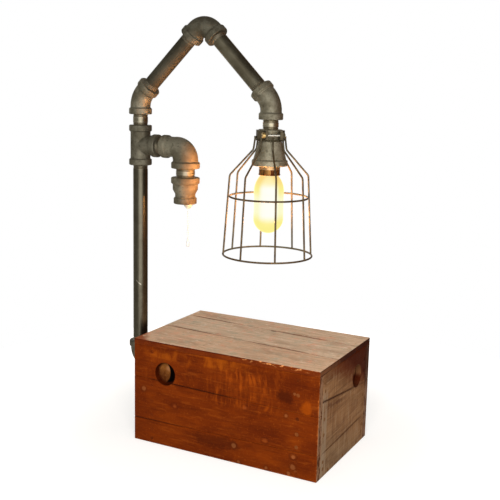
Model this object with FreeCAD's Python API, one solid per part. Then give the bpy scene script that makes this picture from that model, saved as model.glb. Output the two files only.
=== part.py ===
"""Industrial pipe table lamp on a wooden crate.

Frame: millimetres, +Z up, +X along the crate's front from the post's end, +Y towards its back,
origin at the centre of the crate's underside.
"""
import FreeCAD, Part
import math
import os

from FreeCAD import Placement, Rotation, Vector

# ---------------------------------------------------------------- crate
CRATE_LENGTH = 286.0
CRATE_DEPTH = 182.0
CRATE_HEIGHT = 151.0
WALL = 12.0                          # thickness of the side boards
LID = 8.0                            # thickness of the lid boards
FLOOR = 8.0                          # thickness of the floor boards
SEAM = 0.25                          # shrinkage gap between two boards
EDGE = 0.7                           # worn edge of a board
CORNER_POST = (21.0, 15.0)           # inner corner posts, along the crate and across it
# widths of a wall's bottom and top board, or of the lid's and floor's front and back board,
# at the start and at the end of their length; the middle board takes what is left
LONG_BOTTOM = (34.0, 36.2)
LONG_TOP = (47.3, 53.9)
RIGHT_BOTTOM = (33.4, 38.8)
RIGHT_TOP = (36.5, 56.0)
LEFT_BOTTOM = (35.5, 35.5)
LEFT_TOP = (64.5, 64.5)
LID_FRONT = (81.4, 60.1)
LID_BACK = (33.5, 52.4)
FLOOR_OUTER = (52.5, 52.5)

HOLE = 32.5                          # old finger holes, closed by plugs
HOLE_BELOW_LID = 36.7
FRONT_HOLE_FROM_END = 52.0
RIGHT_HOLE_FROM_BACK = 47.0
HOLE_RECESS = 8.0                    # how far a plug's face lies behind the board's face
PLUG_FIT = 0.1
PLUG_FLANGE = 37.0
PLUG_FLANGE_THICK = 5.0

NAIL = 2.2
NAIL_HEAD = 5.2
NAIL_HEAD_THICK = 0.8
NAIL_LENGTH = 21.0
NAIL_FIT = 0.05
LONG_NAIL_INSET = 30.0               # nail rows of the long walls, from the crate's end
LONG_NAIL_SHARES = ((0.22, 0.62), (0.12, 0.46, 0.86), (0.46, 0.84))    # bottom, middle, top board
END_NAIL_SHARES = (0.35, 0.65)       # across an end wall's board
LID_NAIL_SHARES = (0.2, 0.8)         # across a lid board

GROMMET_HOLE = 14.0
GROMMET_LIP = 20.0
GROMMET_LIP_THICK = 2.0
GROMMET_FIT = 0.05                   # radial, round the flex
GROMMET_FROM_END = 60.0
GROMMET_HEIGHT = 18.0

# ---------------------------------------------------------------- pipe and fittings
HALF_PIPE = 21.3                     # outside of half-inch pipe
HALF_BORE = 15.8
WIDE_PIPE = 26.7                     # outside of three-quarter-inch pipe
WIDE_BORE = 20.9
THREAD_FIT = 0.05                    # radial, pipe thread in its socket
THREAD_PITCH = 1.8
THREAD_DEPTH = 0.9
THREAD_CREST = 0.3                   # flat left between two grooves
PIPE_THREADS = 3                     # grooves left bare beside a fitting, on a long pipe
NIPPLE_THREADS = 2                   # and on a short nipple
SOCKET = 13.0                        # depth of a fitting's socket
SOCKET_SPARE = 0.3                   # left between the pipe's end and the socket's floor
HALF_BODY = 28.5                     # cast body of a half-inch fitting
HALF_BAND = 32.5                     # reinforcing band at its mouth
WIDE_BODY = 35.5
WIDE_BAND = 40.3
BAND_WIDTH = 8.0
BAND_SLOPE = 1.6                     # length of the slope between body and band
BAND_CORNER = 1.5
BEND_RADIUS = 18.0
SLANT_BEND = 30.0
TEE_REACH = 28.5                     # centre to end along the run
TEE_OUTLET_REACH = 31.5
ELBOW_REACH = 28.5
TOP_ELBOW_REACH = 30.5
SLANT_REACH = 23.5                   # centre to end of a slanted elbow
SLANT = 45.0

WASHER = 38.0
WASHER_THICK = 2.5
PANEL_HOLE_FIT = 0.35
LOCKNUT = 28.0                       # across flats
LOCKNUT_THICK = 7.0
NIPPLE_BEYOND_NUT = 3.0

POST_Y = -31.2
BASE_BELOW_LID = 42.7                # axis of the nipple through the crate's end
TEE_HEIGHT = 418.5
RISER_GAP = 15.1                     # bare nipple between tee and lower bend
ARCH_SPAN = 207.4                    # post axis to lamp axis
DROP_GAP = 12.5                      # bare nipple between upper bend and cup

# ---------------------------------------------------------------- spout and its pull switch
BRANCH_GAP = 7.8
SPOUT_ELBOW_REACH = 36.8             # half-inch side
SPOUT_ELBOW_DROP = 28.8              # three-quarter side
SPOUT_BEND = 18.2
GROWING_SECTIONS = 8
SPOUT_BULGE = 1.0                    # growth of the bend's section at its middle
SPOUT_GAP = 12.5
REDUCER_LENGTH = 37.3
REDUCER_WAIST = 28.6
REDUCER_BARREL = 17.0                # straight wide part, from the top
REDUCER_SHOULDER = 6.5               # slope from the barrel in to the waist
BUSHING_DEPTH = 8.0

SWITCH_BODY = 19.0
SWITCH_WALL = 1.3
SWITCH_HEIGHT = 26.0
SWITCH_CAP_THICK = 4.0
SWITCH_FLOOR = 3.0
STEM = 9.5                           # threaded stem of the switch
STEM_LENGTH = 11.0
STEM_FIT = 0.1
STEM_BORE = 3.6
BELL_MOUTH = 12.5
BELL_MOUTH_HEIGHT = 6.5
BELL_TIP = 5.2

CHAIN_BALL = 2.4
CHAIN_PITCH = 3.3
CHAIN_LINK = 0.8
CHAIN_BALLS = 23
CHAIN_BELL = 4.2
CHAIN_BELL_LENGTH = 9.0
DRUM_LINE = 5.0                      # drum axis to the chain's line
DRUM_RIM = 6.0
DRUM_WIDTH = 5.0
DRUM_ABOVE_FLOOR = 10.5
DRUM_CAM = 4.6
DRUM_CAM_WIDTH = 2.2
DRUM_PIN = 2.0
RUNNING_FIT = 0.05
SPRING_WIRE = 0.6
SPRING_RADIUS = 2.2
SPRING_TURNS = 4.0
SPRING_PITCH = 0.9
BLADE = (0.4, 2.6, 12.0)             # contact blade: thickness, width, height

# ---------------------------------------------------------------- lamp head
CUP_LENGTH = 48.0
CUP_BAND_LENGTH = 10.0
CUP_RIM = 48.0
CUP_RIM_LENGTH = 7.0
CUP_SHOULDER = 44.0
CUP_CAVITY = 33.0
CUP_CAVITY_DEPTH = 22.0
CUP_CAVITY_CONE = 7.0

HOLDER_FIT = 0.2
HOLDER_LENGTH = 19.0
HOLDER_CEILING = 4.0
HOLDER_BORE = 28.6
SHELL = 28.2
SHELL_WALL = 0.6
SHELL_BELOW_CUP = 12.5
SHELL_BEAD = 0.5
CONTACT = 8.0
CONTACT_THICK = 0.8
RIVET = 3.0
RIVET_FIT = 0.05
BULB_CAP = 26.2
BULB_CAP_WALL = 0.5
BULB_CAP_LENGTH = 28.5
BULB_CAP_CROWN = 7.0                 # from the button's face to the cap's straight side
BULB_CAP_EDGE = 3.5                  # from the button's face to the crown's edge
BULB_CAP_EDGE_INSET = 3.0
BULB_BUTTON = 7.0
BULB_BUTTON_HEIGHT = 2.0
BULB = 40.6
BULB_LENGTH = 79.3                   # from the cap's lower rim
BULB_NECK = 24.8
BULB_SHOULDER = 23.0
BULB_NECK_IN_CAP = 6.0
BULB_NECK_BELOW_CAP = 2.0
GLASS_WALL = 0.9
STEM_GLASS = 5.0
STEM_GLASS_LENGTH = 46.0
FILAMENT_WIRE = 0.6
FILAMENT_LOOPS = 6
FILAMENT_LENGTH = 34.0
FILAMENT_TOP_RADIUS = 5.0
FILAMENT_LOW_RADIUS = 7.5

# ---------------------------------------------------------------- cage
COLLAR_THICK = 2.8
COLLAR_HEIGHT = 11.7
COLLAR_BELOW_TOP = 1.0
COLLAR_FIT = 0.05
CLAMP_GAP = 16.0
EAR_THICK = 3.3
CLAMP_TURN = -52.0                   # direction of the clamp's gap about the lamp axis
EAR_REACH = 25.5
CLAMP_SCREW = 3.0
CLAMP_SCREW_RADIUS = 21.8
CLAMP_HEAD = 7.4
CLAMP_HEAD_THICK = 4.4
CLAMP_NUT = 7.0
CLAMP_NUT_THICK = 3.2
CLAMP_SPARE = 1.2
SCREW_FIT = 0.1

WIRE = 2.5
WIRE_COUNT = 8
WIRE_TURN = -54.0                    # direction of the first wire about the lamp axis
WIRE_TOUCH = 0.02
WIRE_TOP_OVERLAP = 3.8               # a wire's length beside the collar
WIRE_STRAIGHT = 14.0                 # nearly upright run below the collar
WIRE_FLARE = 1.9                     # how far that run leans out
WIRE_SHOULDER_DROP = 34.0
CAGE_SHOULDER_RADIUS = 53.2
CAGE_FOOT_RADIUS = 60.2
CAGE_FOOT_DROP = 107.7               # shoulder to bottom ring
CAGE_MID_DROP = 29.0                 # shoulder to middle ring
WIRE_BEND = 7.0

# ---------------------------------------------------------------- inner wiring
FLEX = 5.0
FLEX_BEND = 16.0
FLEX_RISE_FROM_END = 60.0            # where the flex climbs inside the crate

# ---------------------------------------------------------------- places worked out from the above
UP = Vector(0, 0, 1)
DOWN = Vector(0, 0, -1)
RIGHT = Vector(1, 0, 0)
LEFT = Vector(-1, 0, 0)
BACK = Vector(0, 1, 0)
FRONT = Vector(0, -1, 0)

HALF_LENGTH = CRATE_LENGTH / 2
HALF_DEPTH = CRATE_DEPTH / 2
WALL_TOP = CRATE_HEIGHT - LID
BASE_HEIGHT = WALL_TOP - BASE_BELOW_LID
POST_X = -(HALF_LENGTH + WASHER_THICK + ELBOW_REACH)
LAMP_X = POST_X + ARCH_SPAN
RISE = ARCH_SPAN / 2 * math.tan(math.radians(SLANT))
TEE_TOP = TEE_HEIGHT + TEE_REACH
BEND_HEIGHT = TEE_TOP + RISER_GAP + SLANT_REACH
HEAD_TOP = BEND_HEIGHT - SLANT_REACH           # lower mouth of the upper bend
CUP_TOP = HEAD_TOP - DROP_GAP
CUP_BOTTOM = CUP_TOP - CUP_LENGTH
SPOUT_X = POST_X + TEE_OUTLET_REACH + BRANCH_GAP + SPOUT_ELBOW_REACH
SPOUT_ELBOW_END = TEE_HEIGHT - SPOUT_ELBOW_DROP
REDUCER_TOP = SPOUT_ELBOW_END - SPOUT_GAP
REDUCER_BOTTOM = REDUCER_TOP - REDUCER_LENGTH
SWITCH_BASE = REDUCER_BOTTOM + BUSHING_DEPTH
DRUM_HEIGHT = SWITCH_BASE + DRUM_ABOVE_FLOOR
CHAIN_X = SPOUT_X + DRUM_LINE
INSERTION = SOCKET - SOCKET_SPARE

BASE_CENTRE = Vector(POST_X, POST_Y, BASE_HEIGHT)
TEE_CENTRE = Vector(POST_X, POST_Y, TEE_HEIGHT)
LOWER_BEND_CENTRE = Vector(POST_X, POST_Y, BEND_HEIGHT)
TOP_CENTRE = Vector(POST_X + ARCH_SPAN / 2, POST_Y, BEND_HEIGHT + RISE)
UPPER_BEND_CENTRE = Vector(LAMP_X, POST_Y, BEND_HEIGHT)
SPOUT_CENTRE = Vector(SPOUT_X, POST_Y, TEE_HEIGHT)
UPHILL = (TOP_CENTRE - LOWER_BEND_CENTRE).normalize()
DOWNHILL = (UPPER_BEND_CENTRE - TOP_CENTRE).normalize()


# ---------------------------------------------------------------- shaping helpers
def save(node, *solids):
    """Write one node, as one solid or as a group of separate solids."""
    for solid in solids:
        assert solid.isValid() and solid.Volume > 0, node
    shape = solids[0] if len(solids) == 1 else Part.makeCompound(list(solids))
    shape.exportStep("parts/" + node + ".step")


def joined(*shapes):
    """Fuse shapes into one solid."""
    whole = shapes[0].multiFuse(list(shapes[1:])).removeSplitter()
    return whole.Solids[0]


def rod(radius, start, end):
    along = end - start
    return Part.makeCylinder(radius, along.Length, start, along)


def rounded_wire(points, corners):
    """Closed wire through points, each corner rounded by its own radius (0 keeps it sharp)."""
    count = len(points)
    entries, exits, middles = [], [], []
    for index in range(count):
        here = points[index]
        before = (points[index - 1] - here).normalize()
        after = (points[(index + 1) % count] - here).normalize()
        radius = corners[index]
        half = before.getAngle(after) / 2
        back = radius / math.tan(half) if radius else 0
        entries.append(here + before * back)
        exits.append(here + after * back)
        bisector = before + after
        if radius:
            centre = here + bisector.normalize() * (radius / math.sin(half))
            middles.append(centre + (here - centre).normalize() * radius)
        else:
            middles.append(None)
    edges = []
    for index in range(count):
        if middles[index] is not None:
            edges.append(Part.Arc(entries[index], middles[index], exits[index]).toShape())
        start, end = exits[index], entries[(index + 1) % count]
        if (end - start).Length > 1e-6:
            edges.append(Part.LineSegment(start, end).toShape())
    return Part.Wire(edges)


def turned(profile, origin, along):
    """Solid of revolution: profile points are (radius, distance[, corner radius])."""
    out = Vector(0, 1, 0) if abs(along.y) < 0.9 else Vector(1, 0, 0)
    points = [origin + out * point[0] + along * point[1] for point in profile]
    corners = [point[2] if len(point) > 2 else 0 for point in profile]
    face = Part.Face(rounded_wire(points, corners))
    return face.revolve(origin, along, 360)


def disc(radius, centre, normal):
    return Part.Face(Part.Wire(Part.makeCircle(radius, centre, normal)))


def hexagon(across, thick, centre, normal, bore):
    """Hexagonal nut with its lower face at centre."""
    corner = across / math.sqrt(3)
    points = [Rotation(UP, 60 * side).multVec(RIGHT * corner) for side in range(6)]
    prism = Part.Face(Part.makePolygon(points + points[:1])).extrude(Vector(0, 0, thick))
    nut = prism.cut(Part.makeCylinder(bore / 2, thick))
    nut.Placement = Placement(centre, Rotation(UP, normal))
    return nut.Solids[0]


# ---------------------------------------------------------------- crate
def courses(first, last, start, end):
    """Lower and upper edge, each at both ends, of three boards between start and end."""
    lower_seam = [start + width for width in first]
    upper_seam = [end - width for width in last]
    below, above = -SEAM / 2, SEAM / 2
    return [([start, start], [value + below for value in lower_seam]),
            ([value + above for value in lower_seam], [value + below for value in upper_seam]),
            ([value + above for value in upper_seam], [end, end])]


LONG_COURSES = courses(LONG_BOTTOM, LONG_TOP, 0, WALL_TOP)
RIGHT_COURSES = courses(RIGHT_BOTTOM, RIGHT_TOP, 0, WALL_TOP)
LEFT_COURSES = courses(LEFT_BOTTOM, LEFT_TOP, 0, WALL_TOP)
LID_COURSES = courses(LID_FRONT, LID_BACK, -HALF_DEPTH, HALF_DEPTH)
FLOOR_COURSES = courses(FLOOR_OUTER, FLOOR_OUTER, WALL - HALF_DEPTH, HALF_DEPTH - WALL)


def board(corners, thickness):
    """Flat board from four corners, with its edges worn round."""
    prism = Part.Face(Part.makePolygon(corners + corners[:1])).extrude(thickness)
    return prism.makeFillet(EDGE, prism.Edges)


def long_wall(face_y, inward):
    """Boards of the front or back wall: bottom, middle, top."""
    boards = []
    for low, high in LONG_COURSES:
        corners = [Vector(-HALF_LENGTH, face_y, low[0]), Vector(HALF_LENGTH, face_y, low[1]),
                   Vector(HALF_LENGTH, face_y, high[1]), Vector(-HALF_LENGTH, face_y, high[0])]
        boards.append(board(corners, inward * WALL))
    return boards


def end_wall(face_x, inward, wall_courses):
    """Boards of an end wall, between the long walls: bottom, middle, top."""
    reach = HALF_DEPTH - WALL
    boards = []
    for low, high in wall_courses:
        corners = [Vector(face_x, -reach, low[0]), Vector(face_x, reach, low[1]),
                   Vector(face_x, reach, high[1]), Vector(face_x, -reach, high[0])]
        boards.append(board(corners, inward * WALL))
    return boards


def flat_boards(flat_courses, half_length, height, thickness):
    """Boards of the lid or the floor: front, middle, back."""
    boards = []
    for low, high in flat_courses:
        corners = [Vector(-half_length, low[0], height), Vector(half_length, low[1], height),
                   Vector(half_length, high[1], height), Vector(-half_length, high[0], height)]
        boards.append(board(corners, UP * thickness))
    return boards


def nail(point, inward):
    """Round-head nail, its head flush with the board's face."""
    shank = rod(NAIL / 2, point, point + inward * NAIL_LENGTH)
    head = rod(NAIL_HEAD / 2, point, point + inward * NAIL_HEAD_THICK)
    return joined(head, shank)


def nail_hole(point, inward):
    shank = rod(NAIL / 2 + NAIL_FIT, point, point + inward * (NAIL_LENGTH + NAIL_FIT))
    head = rod(NAIL_HEAD / 2 + NAIL_FIT, point - inward, point + inward * (NAIL_HEAD_THICK + NAIL_FIT))
    return head.fuse(shank)


def wall_nail_places():
    """Point on the face and inward direction of every nail in the four walls."""
    places = []
    end_inset = HALF_DEPTH - WALL - CORNER_POST[1] / 2
    for (low, high), shares in zip(LONG_COURSES, LONG_NAIL_SHARES):
        for share in shares:
            for side in (0, 1):
                x = (2 * side - 1) * (HALF_LENGTH - LONG_NAIL_INSET)
                z = low[side] + share * (high[side] - low[side])
                places.append((Vector(x, -HALF_DEPTH, z), BACK))
                places.append((Vector(x, HALF_DEPTH, z), FRONT))
    end_walls = ((RIGHT_COURSES, HALF_LENGTH, LEFT), (LEFT_COURSES, -HALF_LENGTH, RIGHT))
    for wall_courses, face_x, inward in end_walls:
        for low, high in wall_courses:
            for share in END_NAIL_SHARES:
                for side in (0, 1):
                    z = low[side] + share * (high[side] - low[side])
                    places.append((Vector(face_x, (2 * side - 1) * end_inset, z), inward))
    return places


def flat_nail_places():
    """Nails down through the lid's ends and in through the end walls to the floor boards."""
    places = []
    for low, high in LID_COURSES:
        for share in LID_NAIL_SHARES:
            for side in (0, 1):
                x = (2 * side - 1) * (HALF_LENGTH - WALL / 2)
                y = low[side] + share * (high[side] - low[side])
                places.append((Vector(x, y, CRATE_HEIGHT), DOWN))
    for low, high in FLOOR_COURSES:
        for face_x, inward in ((HALF_LENGTH, LEFT), (-HALF_LENGTH, RIGHT)):
            places.append((Vector(face_x, (low[0] + high[0]) / 2, FLOOR / 2), inward))
    return places


def plug(centre, inward):
    """Turned plug: its flange lies on the board's inner face and its boss stands in the hole."""
    boss = rod(HOLE / 2 - PLUG_FIT, centre + inward * HOLE_RECESS, centre + inward * WALL)
    flange = rod(PLUG_FLANGE / 2, centre + inward * WALL, centre + inward * (WALL + PLUG_FLANGE_THICK))
    return joined(boss, flange)


def grommet(centre, outward):
    """Rubber grommet through the back wall, with a lip on each side."""
    waist, lip, bore = GROMMET_HOLE / 2, GROMMET_LIP / 2, FLEX / 2 + GROMMET_FIT
    profile = [(bore, -WALL - GROMMET_LIP_THICK), (lip, -WALL - GROMMET_LIP_THICK, 0.8), (lip, -WALL),
               (waist, -WALL), (waist, 0), (lip, 0), (lip, GROMMET_LIP_THICK, 0.8), (bore, GROMMET_LIP_THICK)]
    return turned(profile, centre, outward)


def cut_where_near(solid, tools):
    """Cut from a solid only the tools that reach it."""
    near = [tool for tool in tools if tool.BoundBox.intersect(solid.BoundBox)]
    return solid.cut(near).Solids[0] if near else solid


def build_crate():
    front = long_wall(-HALF_DEPTH, BACK)
    back = long_wall(HALF_DEPTH, FRONT)
    right = end_wall(HALF_LENGTH, LEFT, RIGHT_COURSES)
    left = end_wall(-HALF_LENGTH, RIGHT, LEFT_COURSES)
    lid = flat_boards(LID_COURSES, HALF_LENGTH, WALL_TOP, LID)
    floor = flat_boards(FLOOR_COURSES, HALF_LENGTH - WALL, 0, FLOOR)

    hole_z = WALL_TOP - HOLE_BELOW_LID
    front_hole = Vector(FRONT_HOLE_FROM_END - HALF_LENGTH, -HALF_DEPTH, hole_z)
    right_hole = Vector(HALF_LENGTH, HALF_DEPTH - RIGHT_HOLE_FROM_BACK, hole_z)
    pipe_hole = Vector(-HALF_LENGTH, POST_Y, BASE_HEIGHT)
    cord_hole = Vector(HALF_LENGTH - GROMMET_FROM_END, HALF_DEPTH, GROMMET_HEIGHT)

    places = wall_nail_places() + flat_nail_places()
    tools = [nail_hole(point, inward) for point, inward in places]
    tools.append(rod(HOLE / 2, front_hole + FRONT, front_hole + BACK * (WALL + 1)))
    tools.append(rod(HOLE / 2, right_hole + RIGHT, right_hole + LEFT * (WALL + 1)))
    tools.append(rod(HALF_PIPE / 2 + PANEL_HOLE_FIT, pipe_hole + LEFT, pipe_hole + RIGHT * (WALL + 1)))
    tools.append(rod(GROMMET_HOLE / 2, cord_hole + BACK, cord_hole + FRONT * (WALL + 1)))

    inner_x, inner_y = HALF_LENGTH - WALL, HALF_DEPTH - WALL
    posts = []
    for side_x in (-1, 1):
        for side_y in (-1, 1):
            corner = Vector(min(side_x * inner_x, side_x * (inner_x - CORNER_POST[0])),
                            min(side_y * inner_y, side_y * (inner_y - CORNER_POST[1])), FLOOR)
            posts.append(Part.makeBox(CORNER_POST[0], CORNER_POST[1], WALL_TOP - FLOOR, corner))

    names = ("bottom", "middle", "top")
    for name, solid in zip(names, front):
        save("front_board_" + name, cut_where_near(solid, tools))
    for name, solid in zip(names, right):
        save("right_board_" + name, cut_where_near(solid, tools))
    for name, solid in zip(("front", "middle", "back"), lid):
        save("lid_board_" + name, cut_where_near(solid, tools))
    save("back_boards", *[cut_where_near(solid, tools) for solid in back])
    save("left_boards", *[cut_where_near(solid, tools) for solid in left])
    save("floor_boards", *[cut_where_near(solid, tools) for solid in floor])
    save("corner_posts", *[cut_where_near(solid, tools) for solid in posts])
    save("crate_nails", *[nail(point, inward) for point, inward in places])
    save("hole_plugs", plug(front_hole, BACK), plug(right_hole, LEFT))
    save("cord_grommet", grommet(cord_hole, BACK))


# ---------------------------------------------------------------- fittings
def bend_solid(centre, leg_a, leg_b, start, radius, bend_radius):
    """Round bend between two legs that both leave the centre."""
    toward = (leg_a + leg_b).normalize()
    pivot = centre + toward * (bend_radius / math.sin(leg_a.getAngle(leg_b) / 2))
    sweep = 180 - math.degrees(leg_a.getAngle(leg_b))
    return disc(radius, centre + leg_a * start, leg_a).revolve(pivot, leg_b.cross(leg_a), sweep)


def growing_bend(centre, leg_a, leg_b, start, radius_a, radius_b, bulge):
    """Square bend whose section grows from one leg to the other, and swells at its middle."""
    pivot = centre + (leg_a + leg_b) * start
    spoke = centre + leg_a * start - pivot
    axis = leg_b.cross(leg_a)
    sections = []
    for index in range(GROWING_SECTIONS + 1):
        share = index / GROWING_SECTIONS
        turn = Rotation(axis, 90 * share)
        radius = radius_a + (radius_b - radius_a) * share + bulge * math.sin(math.pi * share)
        circle = Part.makeCircle(radius, pivot + turn.multVec(spoke), turn.multVec(leg_a))
        sections.append(Part.Wire(circle))
    return Part.makeLoft(sections, True, False)


def leg_outside(centre, along, start, reach, body, band):
    """Cast leg of a fitting, with the rounded band at its mouth."""
    band_start = reach - BAND_WIDTH
    profile = [(0, start), (body / 2, start), (body / 2, band_start - BAND_SLOPE, BAND_SLOPE),
               (band / 2, band_start, BAND_CORNER), (band / 2, reach, BAND_CORNER), (0, reach)]
    return turned(profile, centre, along)


def leg_inside(centre, along, start, reach, bore, pipe):
    """Waterway and pipe socket of a leg, to be cut away."""
    waterway = rod(bore / 2, centre + along * start, centre + along * reach)
    socket = rod(pipe / 2 + THREAD_FIT, centre + along * (reach - SOCKET), centre + along * (reach + 1))
    return [waterway, socket]


def elbow(centre, leg_a, leg_b, reach, bend_radius):
    """Half-inch cast elbow with two legs of one reach."""
    start = bend_radius / math.tan(leg_a.getAngle(leg_b) / 2)
    outside = [bend_solid(centre, leg_a, leg_b, start, HALF_BODY / 2, bend_radius)]
    inside = [bend_solid(centre, leg_a, leg_b, start, HALF_BORE / 2, bend_radius)]
    for leg in (leg_a, leg_b):
        outside.append(leg_outside(centre, leg, start, reach, HALF_BODY, HALF_BAND))
        inside += leg_inside(centre, leg, start, reach, HALF_BORE, HALF_PIPE)
    return joined(*outside).cut(inside).Solids[0]


def spout_elbow():
    """Reducing elbow from the half-inch branch down to the three-quarter spout."""
    start, legs = SPOUT_BEND, (LEFT, DOWN)
    outside = [growing_bend(SPOUT_CENTRE, *legs, start, HALF_BODY / 2, WIDE_BODY / 2, SPOUT_BULGE),
               leg_outside(SPOUT_CENTRE, LEFT, start, SPOUT_ELBOW_REACH, HALF_BODY, HALF_BAND),
               leg_outside(SPOUT_CENTRE, DOWN, start, SPOUT_ELBOW_DROP, WIDE_BODY, WIDE_BAND)]
    inside = [growing_bend(SPOUT_CENTRE, *legs, start, HALF_BORE / 2, WIDE_BORE / 2, 0)]
    inside += leg_inside(SPOUT_CENTRE, LEFT, start, SPOUT_ELBOW_REACH, HALF_BORE, HALF_PIPE)
    inside += leg_inside(SPOUT_CENTRE, DOWN, start, SPOUT_ELBOW_DROP, WIDE_BORE, WIDE_PIPE)
    return joined(*outside).cut(inside).Solids[0]


def tee():
    """Tee with its run upright and its outlet to the right."""
    outside = joined(leg_outside(TEE_CENTRE, UP, 0, TEE_REACH, HALF_BODY, HALF_BAND),
                     leg_outside(TEE_CENTRE, DOWN, 0, TEE_REACH, HALF_BODY, HALF_BAND),
                     leg_outside(TEE_CENTRE, RIGHT, 0, TEE_OUTLET_REACH, HALF_BODY, HALF_BAND))
    inside = leg_inside(TEE_CENTRE, UP, 0, TEE_REACH, HALF_BORE, HALF_PIPE)
    inside += leg_inside(TEE_CENTRE, DOWN, 0, TEE_REACH, HALF_BORE, HALF_PIPE)
    inside += leg_inside(TEE_CENTRE, RIGHT, 0, TEE_OUTLET_REACH, HALF_BORE, HALF_PIPE)
    return outside.cut(inside).Solids[0]


def bare_threads(mouth, along, radius, count):
    """Ring grooves of the threads that stay bare beside a fitting's mouth, to be cut away."""
    reach = (THREAD_PITCH - THREAD_CREST) / 2
    slope = reach / THREAD_DEPTH
    grooves = []
    for index in range(count):
        middle = (index + 0.5) * THREAD_PITCH
        grooves.append(turned([(radius - THREAD_DEPTH, middle), (radius + 1, middle - reach - slope),
                               (radius + 1, middle + reach + slope)], mouth, along))
    return grooves


def pipe(start, end, outside=HALF_PIPE, bore=HALF_BORE, threads=0):
    """Length of pipe between two points, with this many bare threads beside each end's fitting."""
    along = (end - start).normalize()
    cuts = [rod(bore / 2, start, end)]
    cuts += bare_threads(start + along * INSERTION, along, outside / 2, threads)
    cuts += bare_threads(end - along * INSERTION, along * -1, outside / 2, threads)
    return rod(outside / 2, start, end).cut(cuts).Solids[0]


def build_base():
    nipple_start = POST_X + ELBOW_REACH - INSERTION
    inner_face = -HALF_LENGTH + WALL
    nut_start = inner_face + WASHER_THICK
    nipple_end = nut_start + LOCKNUT_THICK + NIPPLE_BEYOND_NUT
    axis_point = Vector(0, POST_Y, BASE_HEIGHT)
    outer_washer = axis_point + RIGHT * (-HALF_LENGTH - WASHER_THICK)
    inner_washer = axis_point + RIGHT * inner_face
    save("base_elbow", elbow(BASE_CENTRE, UP, RIGHT, ELBOW_REACH, BEND_RADIUS))
    save("base_nipple", pipe(axis_point + RIGHT * nipple_start, axis_point + RIGHT * nipple_end))
    washers = [pipe(start, start + RIGHT * WASHER_THICK, WASHER, HALF_PIPE + 2 * THREAD_FIT)
               for start in (outer_washer, inner_washer)]
    save("panel_washers", *washers)
    nut_place = axis_point + RIGHT * nut_start
    save("panel_locknut", hexagon(LOCKNUT, LOCKNUT_THICK, nut_place, RIGHT, HALF_PIPE + 2 * THREAD_FIT))


def build_post():
    bottom = BASE_CENTRE + UP * (ELBOW_REACH - INSERTION)
    top = TEE_CENTRE + DOWN * (TEE_REACH - INSERTION)
    save("post_pipe", pipe(bottom, top, threads=PIPE_THREADS))
    save("post_tee", tee())


def build_arch():
    lower_mouth = LOWER_BEND_CENTRE + UPHILL * SLANT_REACH
    upper_mouth = UPPER_BEND_CENTRE - DOWNHILL * SLANT_REACH
    riser_bottom = TEE_CENTRE + UP * (TEE_REACH - INSERTION)
    riser_top = LOWER_BEND_CENTRE + DOWN * (SLANT_REACH - INSERTION)
    save("riser_nipple", pipe(riser_bottom, riser_top, threads=NIPPLE_THREADS))
    save("lower_bend", elbow(LOWER_BEND_CENTRE, DOWN, UPHILL, SLANT_REACH, SLANT_BEND))
    save("rising_pipe", pipe(lower_mouth - UPHILL * INSERTION,
                             TOP_CENTRE - UPHILL * (TOP_ELBOW_REACH - INSERTION), threads=PIPE_THREADS))
    save("top_elbow", elbow(TOP_CENTRE, UPHILL * -1, DOWNHILL, TOP_ELBOW_REACH, BEND_RADIUS))
    save("falling_pipe", pipe(TOP_CENTRE + DOWNHILL * (TOP_ELBOW_REACH - INSERTION),
                              upper_mouth + DOWNHILL * INSERTION, threads=PIPE_THREADS))
    save("upper_bend", elbow(UPPER_BEND_CENTRE, DOWNHILL * -1, DOWN, SLANT_REACH, SLANT_BEND))


# ---------------------------------------------------------------- spout
def reducer():
    """Bell reducer from the three-quarter nipple to a half-inch mouth."""
    length = REDUCER_LENGTH
    top, waist, mouth = WIDE_BAND / 2, REDUCER_WAIST / 2, HALF_BAND / 2
    outside = turned([(0, 0), (top, 0, BAND_CORNER), (top, BAND_WIDTH, BAND_CORNER),
                      (WIDE_BODY / 2, BAND_WIDTH + BAND_SLOPE, BAND_SLOPE),
                      (WIDE_BODY / 2, REDUCER_BARREL, 2 * BAND_SLOPE),
                      (waist, REDUCER_BARREL + REDUCER_SHOULDER, BAND_SLOPE),
                      (waist, length - BAND_WIDTH - BAND_SLOPE), (mouth, length - BAND_WIDTH, BAND_CORNER),
                      (mouth, length, BAND_CORNER), (0, length)], Vector(SPOUT_X, POST_Y, REDUCER_TOP), DOWN)
    wide, narrow = WIDE_PIPE / 2 + THREAD_FIT, HALF_PIPE / 2 + THREAD_FIT
    inside = turned([(0, -1), (wide, -1), (wide, SOCKET), (narrow, length - SOCKET), (narrow, length + 1),
                     (0, length + 1)], Vector(SPOUT_X, POST_Y, REDUCER_TOP), DOWN)
    return outside.cut(inside).Solids[0]


def build_spout():
    nipple_start = TEE_CENTRE + RIGHT * (TEE_OUTLET_REACH - INSERTION)
    nipple_end = SPOUT_CENTRE + LEFT * (SPOUT_ELBOW_REACH - INSERTION)
    save("branch_nipple", pipe(nipple_start, nipple_end, threads=NIPPLE_THREADS))
    save("spout_elbow", spout_elbow())
    axis_point = Vector(SPOUT_X, POST_Y, 0)
    save("spout_nipple", pipe(axis_point + UP * (SPOUT_ELBOW_END + INSERTION),
                              axis_point + UP * (REDUCER_TOP - INSERTION), WIDE_PIPE, WIDE_BORE,
                              NIPPLE_THREADS))
    save("spout_reducer", reducer())
    bushing = rod(HALF_PIPE / 2, axis_point + UP * REDUCER_BOTTOM, axis_point + UP * SWITCH_BASE)
    chain_point = Vector(CHAIN_X, POST_Y, REDUCER_BOTTOM)
    stem_hole = rod(STEM / 2 + STEM_FIT, chain_point + DOWN, chain_point + UP * (BUSHING_DEPTH + 1))
    save("spout_bushing", bushing.cut(stem_hole).Solids[0])


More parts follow.
